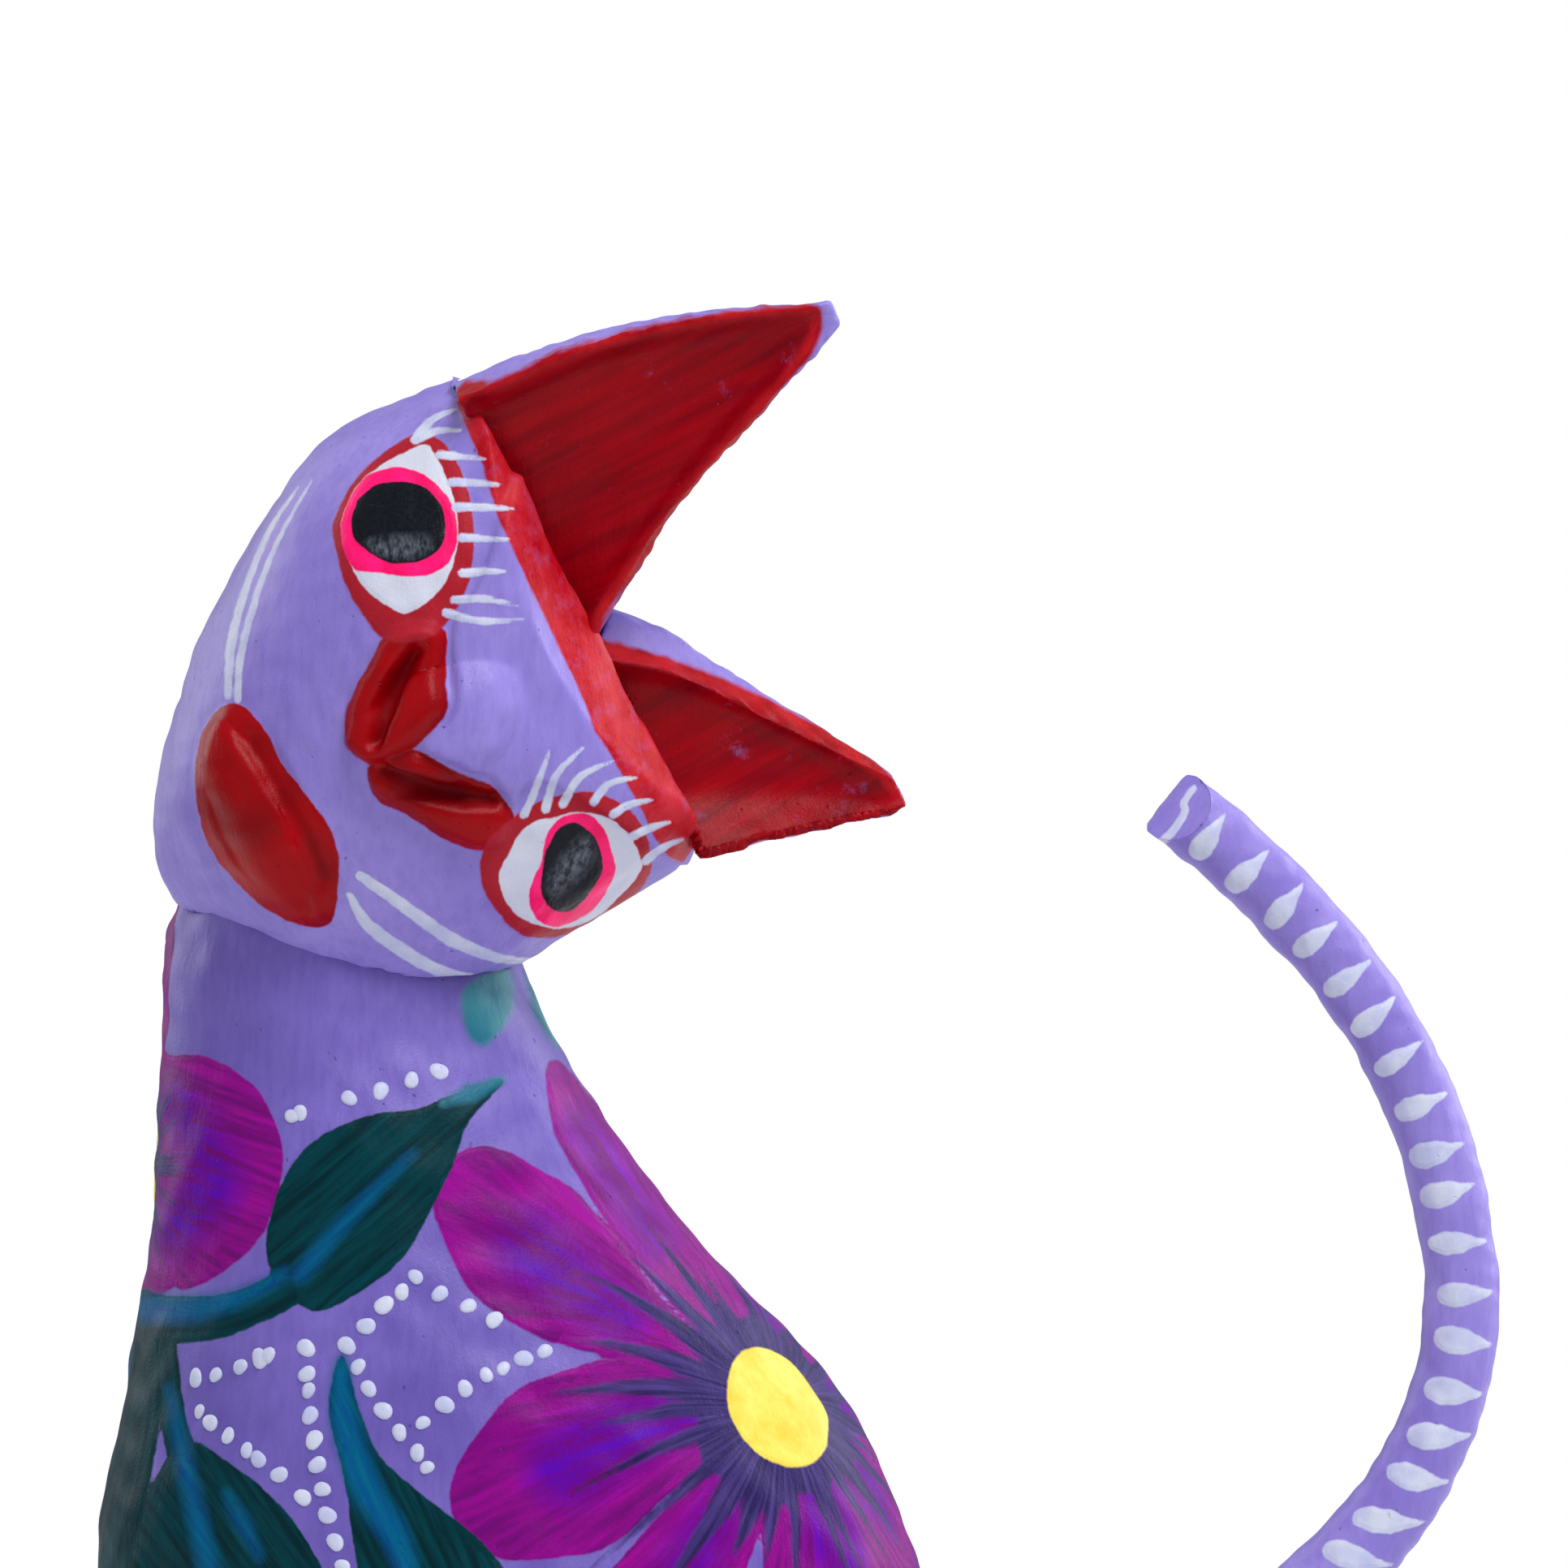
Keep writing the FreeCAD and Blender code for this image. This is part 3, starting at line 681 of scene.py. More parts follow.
LASHES = [
    [(-12.6, 231.4), (-10.6, 233.4), (-7.8, 234.6)],
    [(-12.9, 230.8), (-10.0, 231.9), (-7.3, 232.0)],
    [(-9.9, 229.0), (-8.0, 228.8), (-4.2, 228.4)],
    [(-8.3, 225.6), (-5.4, 225.5), (-2.2, 225.2)],
    [(-7.8, 222.5), (-4.2, 222.5), (-0.7, 222.3)],
    [(-7.1, 218.8), (-4.4, 218.6), (-1.2, 218.5)],
    [(-7.1, 214.4), (-4.4, 214.6), (-1.8, 214.6)],
    [(-8.0, 211.1), (-4.2, 211.2), (-0.3, 210.4)],
    [(-9.1, 209.5), (-5.0, 208.5), (0.5, 208.6)],
    [(0.6, 184.6), (2.4, 188.8), (3.7, 192.5)],
    [(3.2, 185.3), (4.6, 189.6), (7.8, 192.8)],
    [(5.4, 186.0), (7.6, 189.4), (11.6, 191.2)],
    [(9.1, 186.2), (11.2, 188.5), (14.4, 189.2)],
    [(11.5, 184.6), (13.6, 185.9), (16.3, 186.4)],
    [(13.9, 181.9), (16.2, 183.0), (18.6, 183.7)],
    [(15.6, 178.9), (17.6, 180.6), (20.2, 181.6)],
]
LASH_WIDTHS = [0.55, 0.46, 0.16]
WHISKERS = [
    ([(-35.9, 199.1), (-35.6, 205.0), (-34.1, 211.3), (-30.9, 219.5), (-27.2, 225.1)],
     [0.45, 0.75, 0.6, 0.4, 0.15]),
    ([(-34.7, 198.7), (-34.4, 203.8), (-32.5, 211.3), (-29.7, 218.5), (-25.6, 225.8)],
     [0.5, 0.6, 0.5, 0.35, 0.15]),
    ([(-19.6, 177.1), (-14.6, 173.6), (-8.3, 169.2), (-2.7, 167.0), (2.7, 166.6)],
     [0.7, 0.95, 1.05, 0.75, 0.15]),
    ([(-21.0, 174.9), (-19.0, 171.4), (-14.6, 168.0), (-8.9, 165.1), (-2.0, 164.2)],
     [0.4, 0.95, 1.05, 0.85, 0.15]),
]


class Look:
    """A carving as the eye sees it, from the left or, mirrored, from the right: paint and cuts are
    placed on the middle plane and fall on the surface behind."""

    def __init__(self, carving, side=-1):
        mirror = np.array([1.0, -side, 1.0])
        points = carving.points * mirror
        to_eye = np.array([EYE_X, -EYE_AWAY, EYE_Z]) - points
        to_eye /= np.linalg.norm(to_eye, axis=1)[:, None]
        self.carving = carving
        self.flat = seen_flat(points)
        self.facing = (carving.normals * mirror * to_eye).sum(axis=1)

    def wrap(self, depth):
        """Lets paint run a little way round the edge of what is seen, and no further."""
        return np.where(self.facing > 0, depth, np.minimum(depth, 1.0) + self.facing * WRAP_FADE - 0.02)

    def area(self, outline):
        return self.wrap(inside_distance(self.flat, smooth_line(outline, 6, closed=True)))

    def line(self, points, widths):
        return self.wrap(self.stroke(points, widths)[0])

    def stroke(self, points, widths):
        line = smooth_line(points, 6)
        given = np.linspace(0, 1, len(widths))
        radii = np.interp(np.linspace(0, 1, len(line)), given, widths)
        return stroke_distance(self.flat, line, radii)

    def paint_area(self, layer, outline, grain=0.0):
        """An outlined area. Grain is the direction of the bristle marks, in degrees."""
        depth = self.area(outline)
        angle = math.radians(grain)
        along = self.flat @ np.array([math.cos(angle), math.sin(angle)])
        across = self.flat @ np.array([-math.sin(angle), math.cos(angle)])
        self.carving.lay(layer, depth)
        self.carving.drag(depth, along, across)

    def paint_line(self, layer, points, widths, around=None):
        """A stroke with bristle marks along it, or out from the place that around gives."""
        depth, along, off = self.stroke(points, widths)
        depth = self.wrap(depth)
        if around is not None:
            along, angle = self.carving.polar(around)
            off = angle * FAN_WIDTH
        self.carving.lay(layer, depth)
        self.carving.drag(depth, along, off)


def carve_head(head):
    """Nostrils, mouth and bridge of the nose, then the marks of knife and sandpaper."""
    face = Look(head)
    nostrils = np.maximum(face.area(NOSTRIL_RIGHT), face.area(NOSTRIL_LEFT))
    mouth = face.area(MOUTH)
    bridge = face.area(BRIDGE)
    grooves = np.maximum(face.line(GROOVE_RIGHT, [0.0, 0.5, 0.5, 0.0]),
                         face.line(GROOVE_LEFT, [0.0, 0.5, 0.6, 0.0]))
    crack = face.line(MOUTH_GROOVE, [0.0, 0.3, 0.3, 0.0])
    ridge = face.line(MOUTH_RIDGE, [0.0, 0.2, 0.2, 0.0])
    eyes = np.maximum(face.area(EYE_RIM_RIGHT), face.area(EYE_RIM_LEFT))
    cut = 1.7 * step_up(nostrils, -0.5, 1.8)
    cut -= 2.3 * step_up(grooves, -1.5, 0.3) + 0.5 * step_up(grooves, -3.2, 0.0)
    cut += 1.1 * step_up(mouth, -0.4, 2.4)
    cut -= 0.9 * step_up(crack, -2.4, 0.2)
    cut += 0.4 * step_up(ridge, -2.0, 0.2)
    crownwards = (head.points - HEAD_CENTRE) @ UP
    forward = (head.points - HEAD_CENTRE) @ FRONT
    cut -= 1.7 * step_up(crownwards, 20.0, 25.4) * step_up(-forward, -18.0, -14.0)
    cut += 0.9 * step_up(bridge, -0.1, 0.9) * (1 - step_up(bridge, 3.0, 10.0)) * (nostrils < 0.3)
    cut += 0.35 * step_up(eyes, -0.4, 1.4)
    cut += 0.16 * ripple(head.points, 13.0, 3) + 0.05 * ripple(head.points, 4.0, 4)
    head.push(cut)


# What is painted on the face as whole areas, in the order it goes on.
FACE_AREAS = [
    ("face_red", NOSTRIL_RIGHT), ("face_red", NOSTRIL_LEFT), ("face_red", MOUTH),
    ("eye_rim", EYE_RIM_RIGHT), ("eye_rim", EYE_RIM_LEFT),
    ("eye_white", EYE_WHITE_RIGHT), ("eye_white", EYE_WHITE_LEFT),
    ("eye_pink", EYE_PINK_RIGHT), ("eye_pink", EYE_PINK_LEFT),
    ("eye_black", EYE_BLACK_RIGHT), ("eye_black", EYE_BLACK_LEFT),
]
# Half widths of the painted shade along the nose grooves and along the mouth's groove.
GROOVE_SHADE_WIDTHS = [0.1, 0.9, 1.0, 0.1]
MOUTH_GROOVE_SHADE_WIDTHS = [0.0, 0.2, 0.2, 0.0]
# The band goes on over the crown: its outline past the front edge of the crown.
BEYOND_BAND = [(40.0, 178.0), (40.0, 260.0), (-6.0, 260.0)]
BAND_FRONT = 12.0
WHISKER_SLIMMING = 0.82


def paint_head(head):
    face = Look(head)
    for layer, outline in FACE_AREAS:
        head.lay(layer, face.area(outline))
    # Painted shade: dark red along the carved grooves of the nose and the mouth.
    for groove_shade in (GROOVE_RIGHT, GROOVE_LEFT):
        head.lay("groove_shade", face.line(groove_shade, GROOVE_SHADE_WIDTHS))
    head.lay("groove_shade", face.line(MOUTH_GROOVE, MOUTH_GROOVE_SHADE_WIDTHS))
    # Painted reflection: a soft grey patch along a line in the lower part of each pupil.
    for outline, reflection_line in ((EYE_BLACK_RIGHT, REFLECTION_LINE_RIGHT), (EYE_BLACK_LEFT, REFLECTION_LINE_LEFT)):
        head.lay("eye_painted_reflection", np.minimum(face.area(outline) * 3.0 - 1.6, face.line(reflection_line, [0.6, 1.2, 0.6])))
    band = inside_distance(face.flat, np.array(BAND_EDGE + BEYOND_BAND))
    forward = (head.points - HEAD_CENTRE) @ FRONT
    head.lay("band", np.where(forward > BAND_FRONT, band, OUTSIDE))
    for lash in LASHES:
        head.lay("white_line", face.line(lash, LASH_WIDTHS))
    for line, widths in WHISKERS:
        head.lay("white_line", face.line(line, [WHISKER_SLIMMING * w for w in widths]))


def make_head():
    head = Carving("head", 0.5, 4)
    carve_head(head)
    head.ready()
    paint_head(head)
    head.finish(painted("head_paint", HEAD_LAYERS), "figure")


# Each ear: outline of its red front as the eye sees it, how far towards the crown the red stops,
# and how deep the root is pressed onto the head.
EARS = {
    "ear_right": ([(-6.5, 236.6), (-2.0, 238.5), (6.0, 242.0), (12.0, 243.8), (20.0, 245.6), (28.0, 246.9),
                   (36.0, 247.4), (37.2, 245.0), (35.4, 240.8), (30.4, 234.8), (26.2, 229.8), (22.3, 224.8),
                   (18.4, 219.8), (14.7, 214.8), (11.6, 209.9), (10.0, 206.2), (0.0, 208.0), (-8.0, 220.0)],
                  69.0, 1.7),
    "ear_left": ([(10.0, 206.6), (16.0, 204.8), (22.0, 202.5), (28.0, 200.0), (34.0, 197.0), (40.0, 193.8),
                  (44.5, 190.5), (47.2, 187.5), (49.0, 184.0), (44.0, 180.0), (20.0, 174.0), (8.0, 182.0),
                  (4.0, 200.0)], 60.0, 1.7),
}


def make_ear(name, seed):
    outline, tip, pressed = EARS[name]
    ear = Carving(name, 0.42, 4)
    face = Look(ear).area(outline)
    facing = ear.normals @ FRONT
    edge = np.exp(-((facing - 0.15) / 0.3) ** 2)
    chips = ripple(ear.points, 2.8, seed) * 0.10 + ripple(ear.points, 7.0, seed + 1) * 0.12
    ear.push(edge * chips + 0.05 * ripple(ear.points, 6.0, seed + 2) - 1.1 * step_up(face, 0.9, 4.2))
    crownwards = (ear.points - HEAD_CENTRE) @ UP
    seated = 1 - step_up(crownwards, 24.0, 34.0)
    ear.shift(-pressed * seated[:, None] * UP)
    uneven = ripple(ear.points, 3.0, seed + 3)
    red = np.minimum(face + 0.12 * uneven, tip - crownwards + 0.6 * uneven)
    ear.lay("ear_red", red)
    # Painted highlight: a narrow band of lighter red just inside the edge of the red front.
    ear.lay("ear_rim_highlight", np.minimum(face, 1.2 - face))
    across = ear.points @ SIDE
    ear.drag(np.ones(len(across)), crownwards, across)
    ear.finish(painted(f"{name}_paint", EAR_LAYERS), "figure")


# ---- the body -----------------------------------------------------------------------------------

DOT_RADIUS = 1.02
HALO_STROKES = 26


def row(points, count):
    """Evenly spaced spots along a line of points."""
    p = np.array(points, float)
    lengths = np.r_[0, np.cumsum(np.linalg.norm(np.diff(p, axis=0), axis=1))]
    at = np.linspace(0, lengths[-1], count)
    return [tuple(np.interp(d, lengths, p[:, k]) for k in range(p.shape[1])) for d in at]


def flower(carving, centre, reach, petals, start, eye_radius, only=None):
    """Petals round a centre on the surface, following it as it curves."""
    middle, normal = carving.nearest(centre)
    sideways = np.cross([0.0, 0.0, 1.0], normal)
    sideways /= np.linalg.norm(sideways)
    upwards = np.cross(normal, sideways)
    for k in range(petals):
        if only is not None and k not in only:
            continue
        angle = math.radians(start + 360.0 * k / petals)
        ahead = sideways * math.cos(angle) + upwards * math.sin(angle)
        places = [carving.nearest(middle + ahead * reach * share)[0] for share in (0.2, 0.45, 0.66, 0.78)]
        width = min(reach * math.pi / petals, reach * 0.4)
        carving.stroke("magenta", np.array(places), [width * 0.4, width * 0.72, width * 0.86, width * 0.6],
                       around=middle)
        carving.stroke("violet", np.array(places[:3]), [width * 0.2, width * 0.3, width * 0.1], around=middle)
    flower_eye(carving, middle, eye_radius, reach)


def flower_eye(carving, middle, eye_radius, reach):
    """Yellow eye, with a dark ring round it and fine dark strokes running out over the petals."""
    radius, angle = carving.polar(middle)
    ring = eye_radius + reach * (0.12 + 0.04 * np.sin(angle * 2 + 0.6) + 0.02 * np.sin(angle * 9 + 0.7))
    rng = np.random.default_rng(int(reach * 10))
    depth = ring - radius
    for k in range(HALO_STROKES):
        toward = 2 * math.pi * (k + rng.uniform(-0.3, 0.3)) / HALO_STROKES
        length = reach * rng.uniform(0.16, 0.52)
        root = reach * rng.uniform(0.022, 0.050)
        left = np.clip((ring + length - radius) / length, 0, 1)
        turn = (angle - toward + math.pi) % (2 * math.pi) - math.pi
        spike = root * left - np.abs(turn) * radius
        depth = np.maximum(depth, np.where(left > 0, spike, OUTSIDE))
    near = radius < reach
    carving.lay("halo", np.where(near, depth, OUTSIDE))
    carving.drag(np.where(near & (depth > -0.6), 30.0, OUTSIDE), radius, angle * FAN_WIDTH)
    carving.lay("yellow", eye_radius - radius)


def leaf(carving, places, width):
    """A pointed leaf, broadest near its stem, with a lighter vein."""
    share = np.linspace(0.0, 1.0, 11)
    half = 0.4 + width * np.sin(math.pi * share ** 0.8) ** 0.8
    carving.stroke("teal", places, half)
    carving.stroke("blue", places, half * 0.22)


PETALS = [
    ([(-4.5, 137.5), (1.0, 131.5), (6.0, 127.5), (13.0, 122.5), (24.0, 115.0)], [6.3, 9.0, 8.2, 5.2, 2.2]),
    ([(4.4, 153.2), (7.4, 146.5), (11.6, 140.0), (17.0, 132.0), (26.0, 119.5)], [1.2, 3.3, 3.8, 3.8, 2.2]),
    ([(-1.0, 100.5), (6.0, 104.5), (14.0, 109.0), (24.0, 111.5)], [7.6, 11.2, 9.2, 5.0]),
    ([(13.0, 77.0), (16.0, 84.0), (22.0, 94.0), (29.0, 105.0)], [7.0, 8.5, 6.5, 3.5]),
]
CHEST_PETAL = [
    (-47.0, 154.5), (-42.6, 155.0), (-38.6, 154.8), (-35.1, 153.1), (-31.4, 149.5), (-29.1, 142.5),
    (-31.1, 133.9), (-36.1, 128.6), (-41.7, 126.6), (-47.0, 127.6),
]
NECK_LEAF = [
    (-30.7, 128.6), (-30.9, 134.2), (-28.8, 140.2), (-24.8, 144.8), (-18.5, 147.6), (-12.8, 148.4),
    (-7.9, 150.3), (-1.9, 152.1), (-6.2, 146.8), (-8.2, 141.5), (-10.9, 135.9), (-14.2, 130.2),
    (-19.5, 125.9), (-25.5, 123.5),
]
SHOULDER_LEAF = [
    (-43.6, 105.0), (-40.0, 107.3), (-35.7, 104.7), (-30.7, 100.8), (-26.3, 95.3), (-23.4, 89.0),
    (-24.0, 81.0), (-32.0, 76.0), (-42.0, 80.0), (-48.0, 90.0), (-46.5, 99.0),
]
LONG_LEAF = [
    (-22.1, 118.2), (-20.7, 115.2), (-19.7, 111.3), (-17.0, 105.3), (-11.3, 100.3), (-4.3, 94.7),
    (1.0, 86.0), (-1.0, 75.0), (-9.0, 73.0), (-17.5, 80.0), (-20.2, 93.0), (-21.5, 102.3),
    (-23.3, 109.7), (-23.3, 113.7),
]
THROAT_LEAF = [(-7.0, 162.8), (-4.0, 165.0), (-1.2, 165.6), (-0.9, 160.5), (-4.2, 156.2), (-6.6, 158.0)]
DOTS = [
    (-39.9, 115.2), (-37.4, 115.6), (-34.4, 116.6), (-32.0, 117.6), (-31.0, 118.0),
    (-26.3, 118.9), (-26.2, 115.7), (-26.0, 113.7), (-25.8, 110.6), (-25.3, 107.6), (-24.9, 104.5),
    (-24.3, 101.5), (-23.7, 98.3), (-22.7, 95.0), (-21.8, 92.0), (-21.0, 89.0),
    (-39.4, 111.1), (-38.1, 109.7), (-35.9, 108.1), (-33.6, 106.3), (-32.2, 105.2), (-29.6, 103.3),
    (-26.7, 100.5), (-12.8, 127.7), (-14.5, 125.8), (-16.7, 124.2), (-18.9, 121.6), (-21.3, 119.2),
    (-9.8, 125.6), (-6.3, 124.1), (-3.1, 122.4), (3.1, 118.5), (0.5, 117.6), (-2.0, 116.4),
    (-4.1, 115.6), (-6.7, 113.9), (-9.2, 111.9), (-11.9, 109.7), (-19.9, 116.6), (-18.6, 113.9),
    (-16.8, 111.2), (-14.8, 108.5), (-12.6, 106.0), (-11.4, 104.2), (-28.0, 147.5), (-27.0, 147.9),
    (-21.0, 149.7), (-17.1, 150.6), (-13.3, 151.9), (-9.9, 153.0),
]


def paint_side(torso, side):
    """One flank. The right one mirrors the left."""
    look = Look(torso, side)

    def seen(*spots):
        return torso.seen(spots, side)

    # Big flower at the back of the flank, and one petal of the flower on the chest
    middle = seen((32.2, 111.9))[0]
    flower(torso, middle, 40.0, 8, 12.0, 7.9, only=(0, 1, 7, 6))
    for line, widths in PETALS:
        look.paint_line("magenta", line, widths, around=middle)
        look.paint_line("violet", line[1:4], [w * 0.45 for w in widths[1:4]], around=middle)
    look.paint_area("magenta", CHEST_PETAL, 160.0)
    look.paint_line("violet", [(-43.0, 133.0), (-38.0, 140.0), (-42.0, 149.0)], [2.6, 3.8, 2.6])

    # Leaves and stems
    look.paint_line("teal", [(-28.0, 126.6), (-33.5, 123.9), (-39.0, 122.5), (-47.0, 122.6)],
                    [2.4, 2.4, 2.8, 3.1])
    look.paint_line("blue", [(-29.0, 128.0), (-34.0, 125.4), (-40.0, 123.8), (-46.0, 123.8)],
                    [0.6, 1.0, 1.6, 1.8])
    look.paint_line("teal", [(-46.5, 124.0), (-46.6, 114.0), (-48.0, 104.0), (-51.0, 92.0), (-53.0, 80.0)],
                    [2.2, 2.6, 2.8, 3.0, 2.0])
    look.paint_line("teal", [(-43.6, 119.5), (-43.0, 112.0), (-41.7, 106.0)], [1.4, 1.6, 1.8])
    look.paint_area("teal", SHOULDER_LEAF, 125.0)
    look.paint_line("blue", [(-43.2, 114.0), (-41.7, 107.0), (-40.2, 100.0), (-38.0, 91.0), (-36.0, 82.0)],
                    [0.3, 0.9, 1.1, 1.3, 0.6])
    look.paint_line("blue", [(-36.0, 101.0), (-32.0, 93.0)], [0.3, 0.9, 0.2])
    look.paint_area("teal", LONG_LEAF, 115.0)
    look.paint_line("blue", [(-22.0, 117.0), (-21.6, 110.0), (-19.0, 102.0), (-15.0, 95.0), (-12.0, 86.0)],
                    [0.8, 1.7, 1.9, 1.6, 0.6])
    look.paint_area("teal", NECK_LEAF, 40.0)
    look.paint_line("blue", [(-27.0, 128.0), (-21.0, 135.0), (-13.0, 143.0)], [1.0, 0.8, 0.2])
    look.paint_line("pale", [(-9.6, 149.0), (-6.0, 150.4), (-1.9, 152.1)], [0.2, 1.2, 0.3])
    look.paint_area("pale", THROAT_LEAF, 60.0)
    look.paint_line("pale", [(1.6, 165.0), (3.2, 160.0), (5.0, 156.2)], [0.9, 1.4, 0.3])
    torso.dots(seen(*DOTS), DOT_RADIUS, seed=6 + side)

    # Lower flank, between the legs
    leaf(torso, seen((-4.0, 64.0), (-12.0, 57.0), (-22.0, 54.0)), 5.0)
    leaf(torso, seen((0.0, 66.0), (8.0, 72.0), (20.0, 74.0)), 4.5)
    torso.dots(seen(*row([(-28.0, 62.0), (-20.0, 46.0)], 5)), DOT_RADIUS, seed=31)


def paint_front_and_back(torso):
    """Chest and spine, as seen from in front of the cat and from behind."""
    middle = torso.towards(-90, [(0.0, 141.0)])[0]
    torso.stroke("magenta", torso.towards(-90, [(0.0, 150.0), (0.0, 160.0), (0.0, 169.0)]), [5.0, 9.5, 9.0],
                 around=middle)
    torso.stroke("violet", torso.towards(-90, [(0.0, 150.0), (0.0, 160.0)]), [2.0, 4.0], around=middle)
    torso.stroke("magenta", torso.towards(-90, [(0.0, 134.0), (0.0, 126.0), (0.0, 118.0)]), [4.0, 9.0, 6.5],
                 around=middle)
    torso.stroke("violet", torso.towards(-90, [(0.0, 134.0), (0.0, 125.0)]), [2.0, 4.0], around=middle)
    for side in (-1, 1):
        torso.stroke("magenta", torso.towards(-90, [(side * 5.0, 141.0), (side * 16.0, 141.0)]), [7.0, 13.5],
                     around=middle)
    flower_eye(torso, middle, 5.2, 26.0)
    leaf(torso, torso.towards(-90, [(0.0, 122.0), (1.5, 107.0), (0.0, 84.0)]), 9.5)
    leaf(torso, torso.towards(-90, [(0.0, 84.0), (-3.0, 70.0), (0.0, 58.0)]), 5.0)
    for side in (-1, 1):
        torso.dots(torso.towards(-90, row([(side * 9.0, 86.0), (side * 7.0, 62.0)], 5)), DOT_RADIUS,
                   seed=42 + side)
    flower(torso, torso.towards(90, [(0.0, 84.0)])[0], 19.0, 6, 30.0, 4.4)
    for side in (-1, 1):
        leaf(torso, torso.towards(90, [(side * 16.0, 66.0), (side * 20.0, 54.0), (side * 15.0, 42.0)]),
             4.5)
        torso.dots(torso.towards(90, row([(side * 10.0, 60.0), (side * 10.0, 34.0)], 5)), DOT_RADIUS,
                   seed=72 + side)


def make_torso():
    torso = Carving("torso", 0.88, 5)
    height = torso.points[:, 2]
    filler = step_up(height, 156.0, 163.0)
    torso.push(0.28 * ripple(torso.points, 22.0, 11) + 0.08 * ripple(torso.points, 6.0, 12)
               + filler * 0.10 * ripple(torso.points, 6.0, 13))
    torso.ready()
    for side in (-1, 1):
        paint_side(torso, side)
    paint_front_and_back(torso)
    # The torso's ground is the darker, shaded copy of the lilac: painted shade.
    torso.finish(painted("torso_paint", BODY_LAYERS, SHADED_BODY_LILAC), "figure")


# Paws: |y| of the middle, distance to the toe grooves, how far forward (-x) the grooves start and
# reach full depth, distance to the outer claws, claw heights top and bottom, and claw half widths.
FRONT_PAW = (14.5, 3.4, 55.0, 59.0, 6.4, 9.0, 3.6, [1.0, 1.9])
HIND_PAW = (32.0, 3.2, 27.0, 31.0, 6.0, 7.6, 3.2, [0.9, 1.7])
TOE_GROOVE_DEPTH = 1.0
TOE_GROOVE_WIDTH = 0.9


def toe_grooves(leg, side, paw):
    """How far the surface moves out (negative, so in) to leave three toes."""
    middle, gap, start, full, _, _, _, _ = paw
    cut = np.zeros(len(leg.points))
    forward = step_up(-leg.points[:, 0], start, full)
    above_ground = step_up(leg.points[:, 2], 0.5, 3.0)
    for across in (-gap, gap):
        beside = np.abs(leg.points[:, 1] - side * middle - across)
        cut -= TOE_GROOVE_DEPTH * np.exp(-(beside / TOE_GROOVE_WIDTH) ** 2) * forward * above_ground
    return cut


def paint_claws(leg, side, paw):
    middle, _, _, _, gap, top, bottom, widths = paw
    for across in (-gap, 0.0, gap):
        y = across - side * middle
        leg.stroke("magenta", leg.towards(-90, [(y, top), (y, bottom)]), widths)


def make_front_leg(word, side):
    leg = Carving(f"front_leg_{word}", 0.5, 5)
    leg.push(toe_grooves(leg, side, FRONT_PAW) + 0.16 * ripple(leg.points, 11.0, 21 + side))
    leg.ready()
    look = 0 if side < 0 else 180
    leaf(leg, leg.towards(look, [(side * 42.0, 54.0), (side * 42.0, 44.0), (side * 43.0, 33.0)]), 3.4)
    leg.dots(leg.towards(look, row([(side * 41.0, 60.0), (side * 38.5, 90.0)], 5)), DOT_RADIUS, seed=81)
    leg.dots(leg.towards(-90, row([(-side * 15.0, 24.0), (-side * 17.0, 78.0)], 9)), DOT_RADIUS, seed=82)
    paint_claws(leg, side, FRONT_PAW)
    leg.lay_missing(BODY_LAYERS)
    # The leg's ground is the darker, shaded copy of the lilac: painted shade.
    leg.finish(painted(f"front_leg_{word}_paint", BODY_LAYERS, SHADED_BODY_LILAC), "figure")


def make_hind_leg(word, side):
    leg = Carving(f"hind_leg_{word}", 0.6, 5)
    leg.push(toe_grooves(leg, side, HIND_PAW) + 0.2 * ripple(leg.points, 14.0, 31 + side))
    leg.ready()
    look = 0 if side < 0 else 180

    def beside(*spots):
        return leg.towards(look, [(-side * x, z) for x, z in spots])

    flower(leg, beside((20.0, 37.0))[0], 22.0, 7, 10.0, 4.8)
    leaf(leg, beside((-2.0, 14.0), (4.0, 20.0), (8.0, 24.0)), 3.2)
    leg.dots(beside(*row([(-26.0, 6.5), (6.0, 6.5)], 6)), DOT_RADIUS, seed=91)
    paint_claws(leg, side, HIND_PAW)
    leg.lay_missing(BODY_LAYERS)
    # The leg's ground is the darker, shaded copy of the lilac: painted shade.
    leg.finish(painted(f"hind_leg_{word}_paint", BODY_LAYERS, SHADED_BODY_LILAC), "figure")


# ---- the tail -----------------------------------------------------------------------------------

TAIL_LINE = [
    (52.8, 43.6), (75.0, 65.8), (96.6, 87.4), (107.3, 99.2), (112.3, 107.5), (115.7, 119.0),
    (115.2, 134.1), (109.0, 153.6), (97.1, 170.7), (79.8, 186.5),
]
TAIL_RADIUS = 4.6
TAIL_CUT_LEAN = math.radians(40.0)
TAIL_CUT_BACK = 0.9
TAIL_END_MARK = [(83.2, 188.0), (81.9, 186.2), (82.0, 184.9), (80.8, 183.0), (79.2, 181.3)]
# White strokes: gap between them, how far the first is from the tip, and the height below which they
# lie level rather than square across. Each is a drop: its place across the tail and its half width.
TAIL_STROKE_GAP = 6.0
TAIL_FIRST_STROKE = 6.8
TAIL_LEVEL_BELOW = 138.0
TAIL_DROP = [(-3.2, 1.30), (-2.0, 1.72), (-0.4, 1.50), (1.4, 0.70), (3.6, 0.12)]


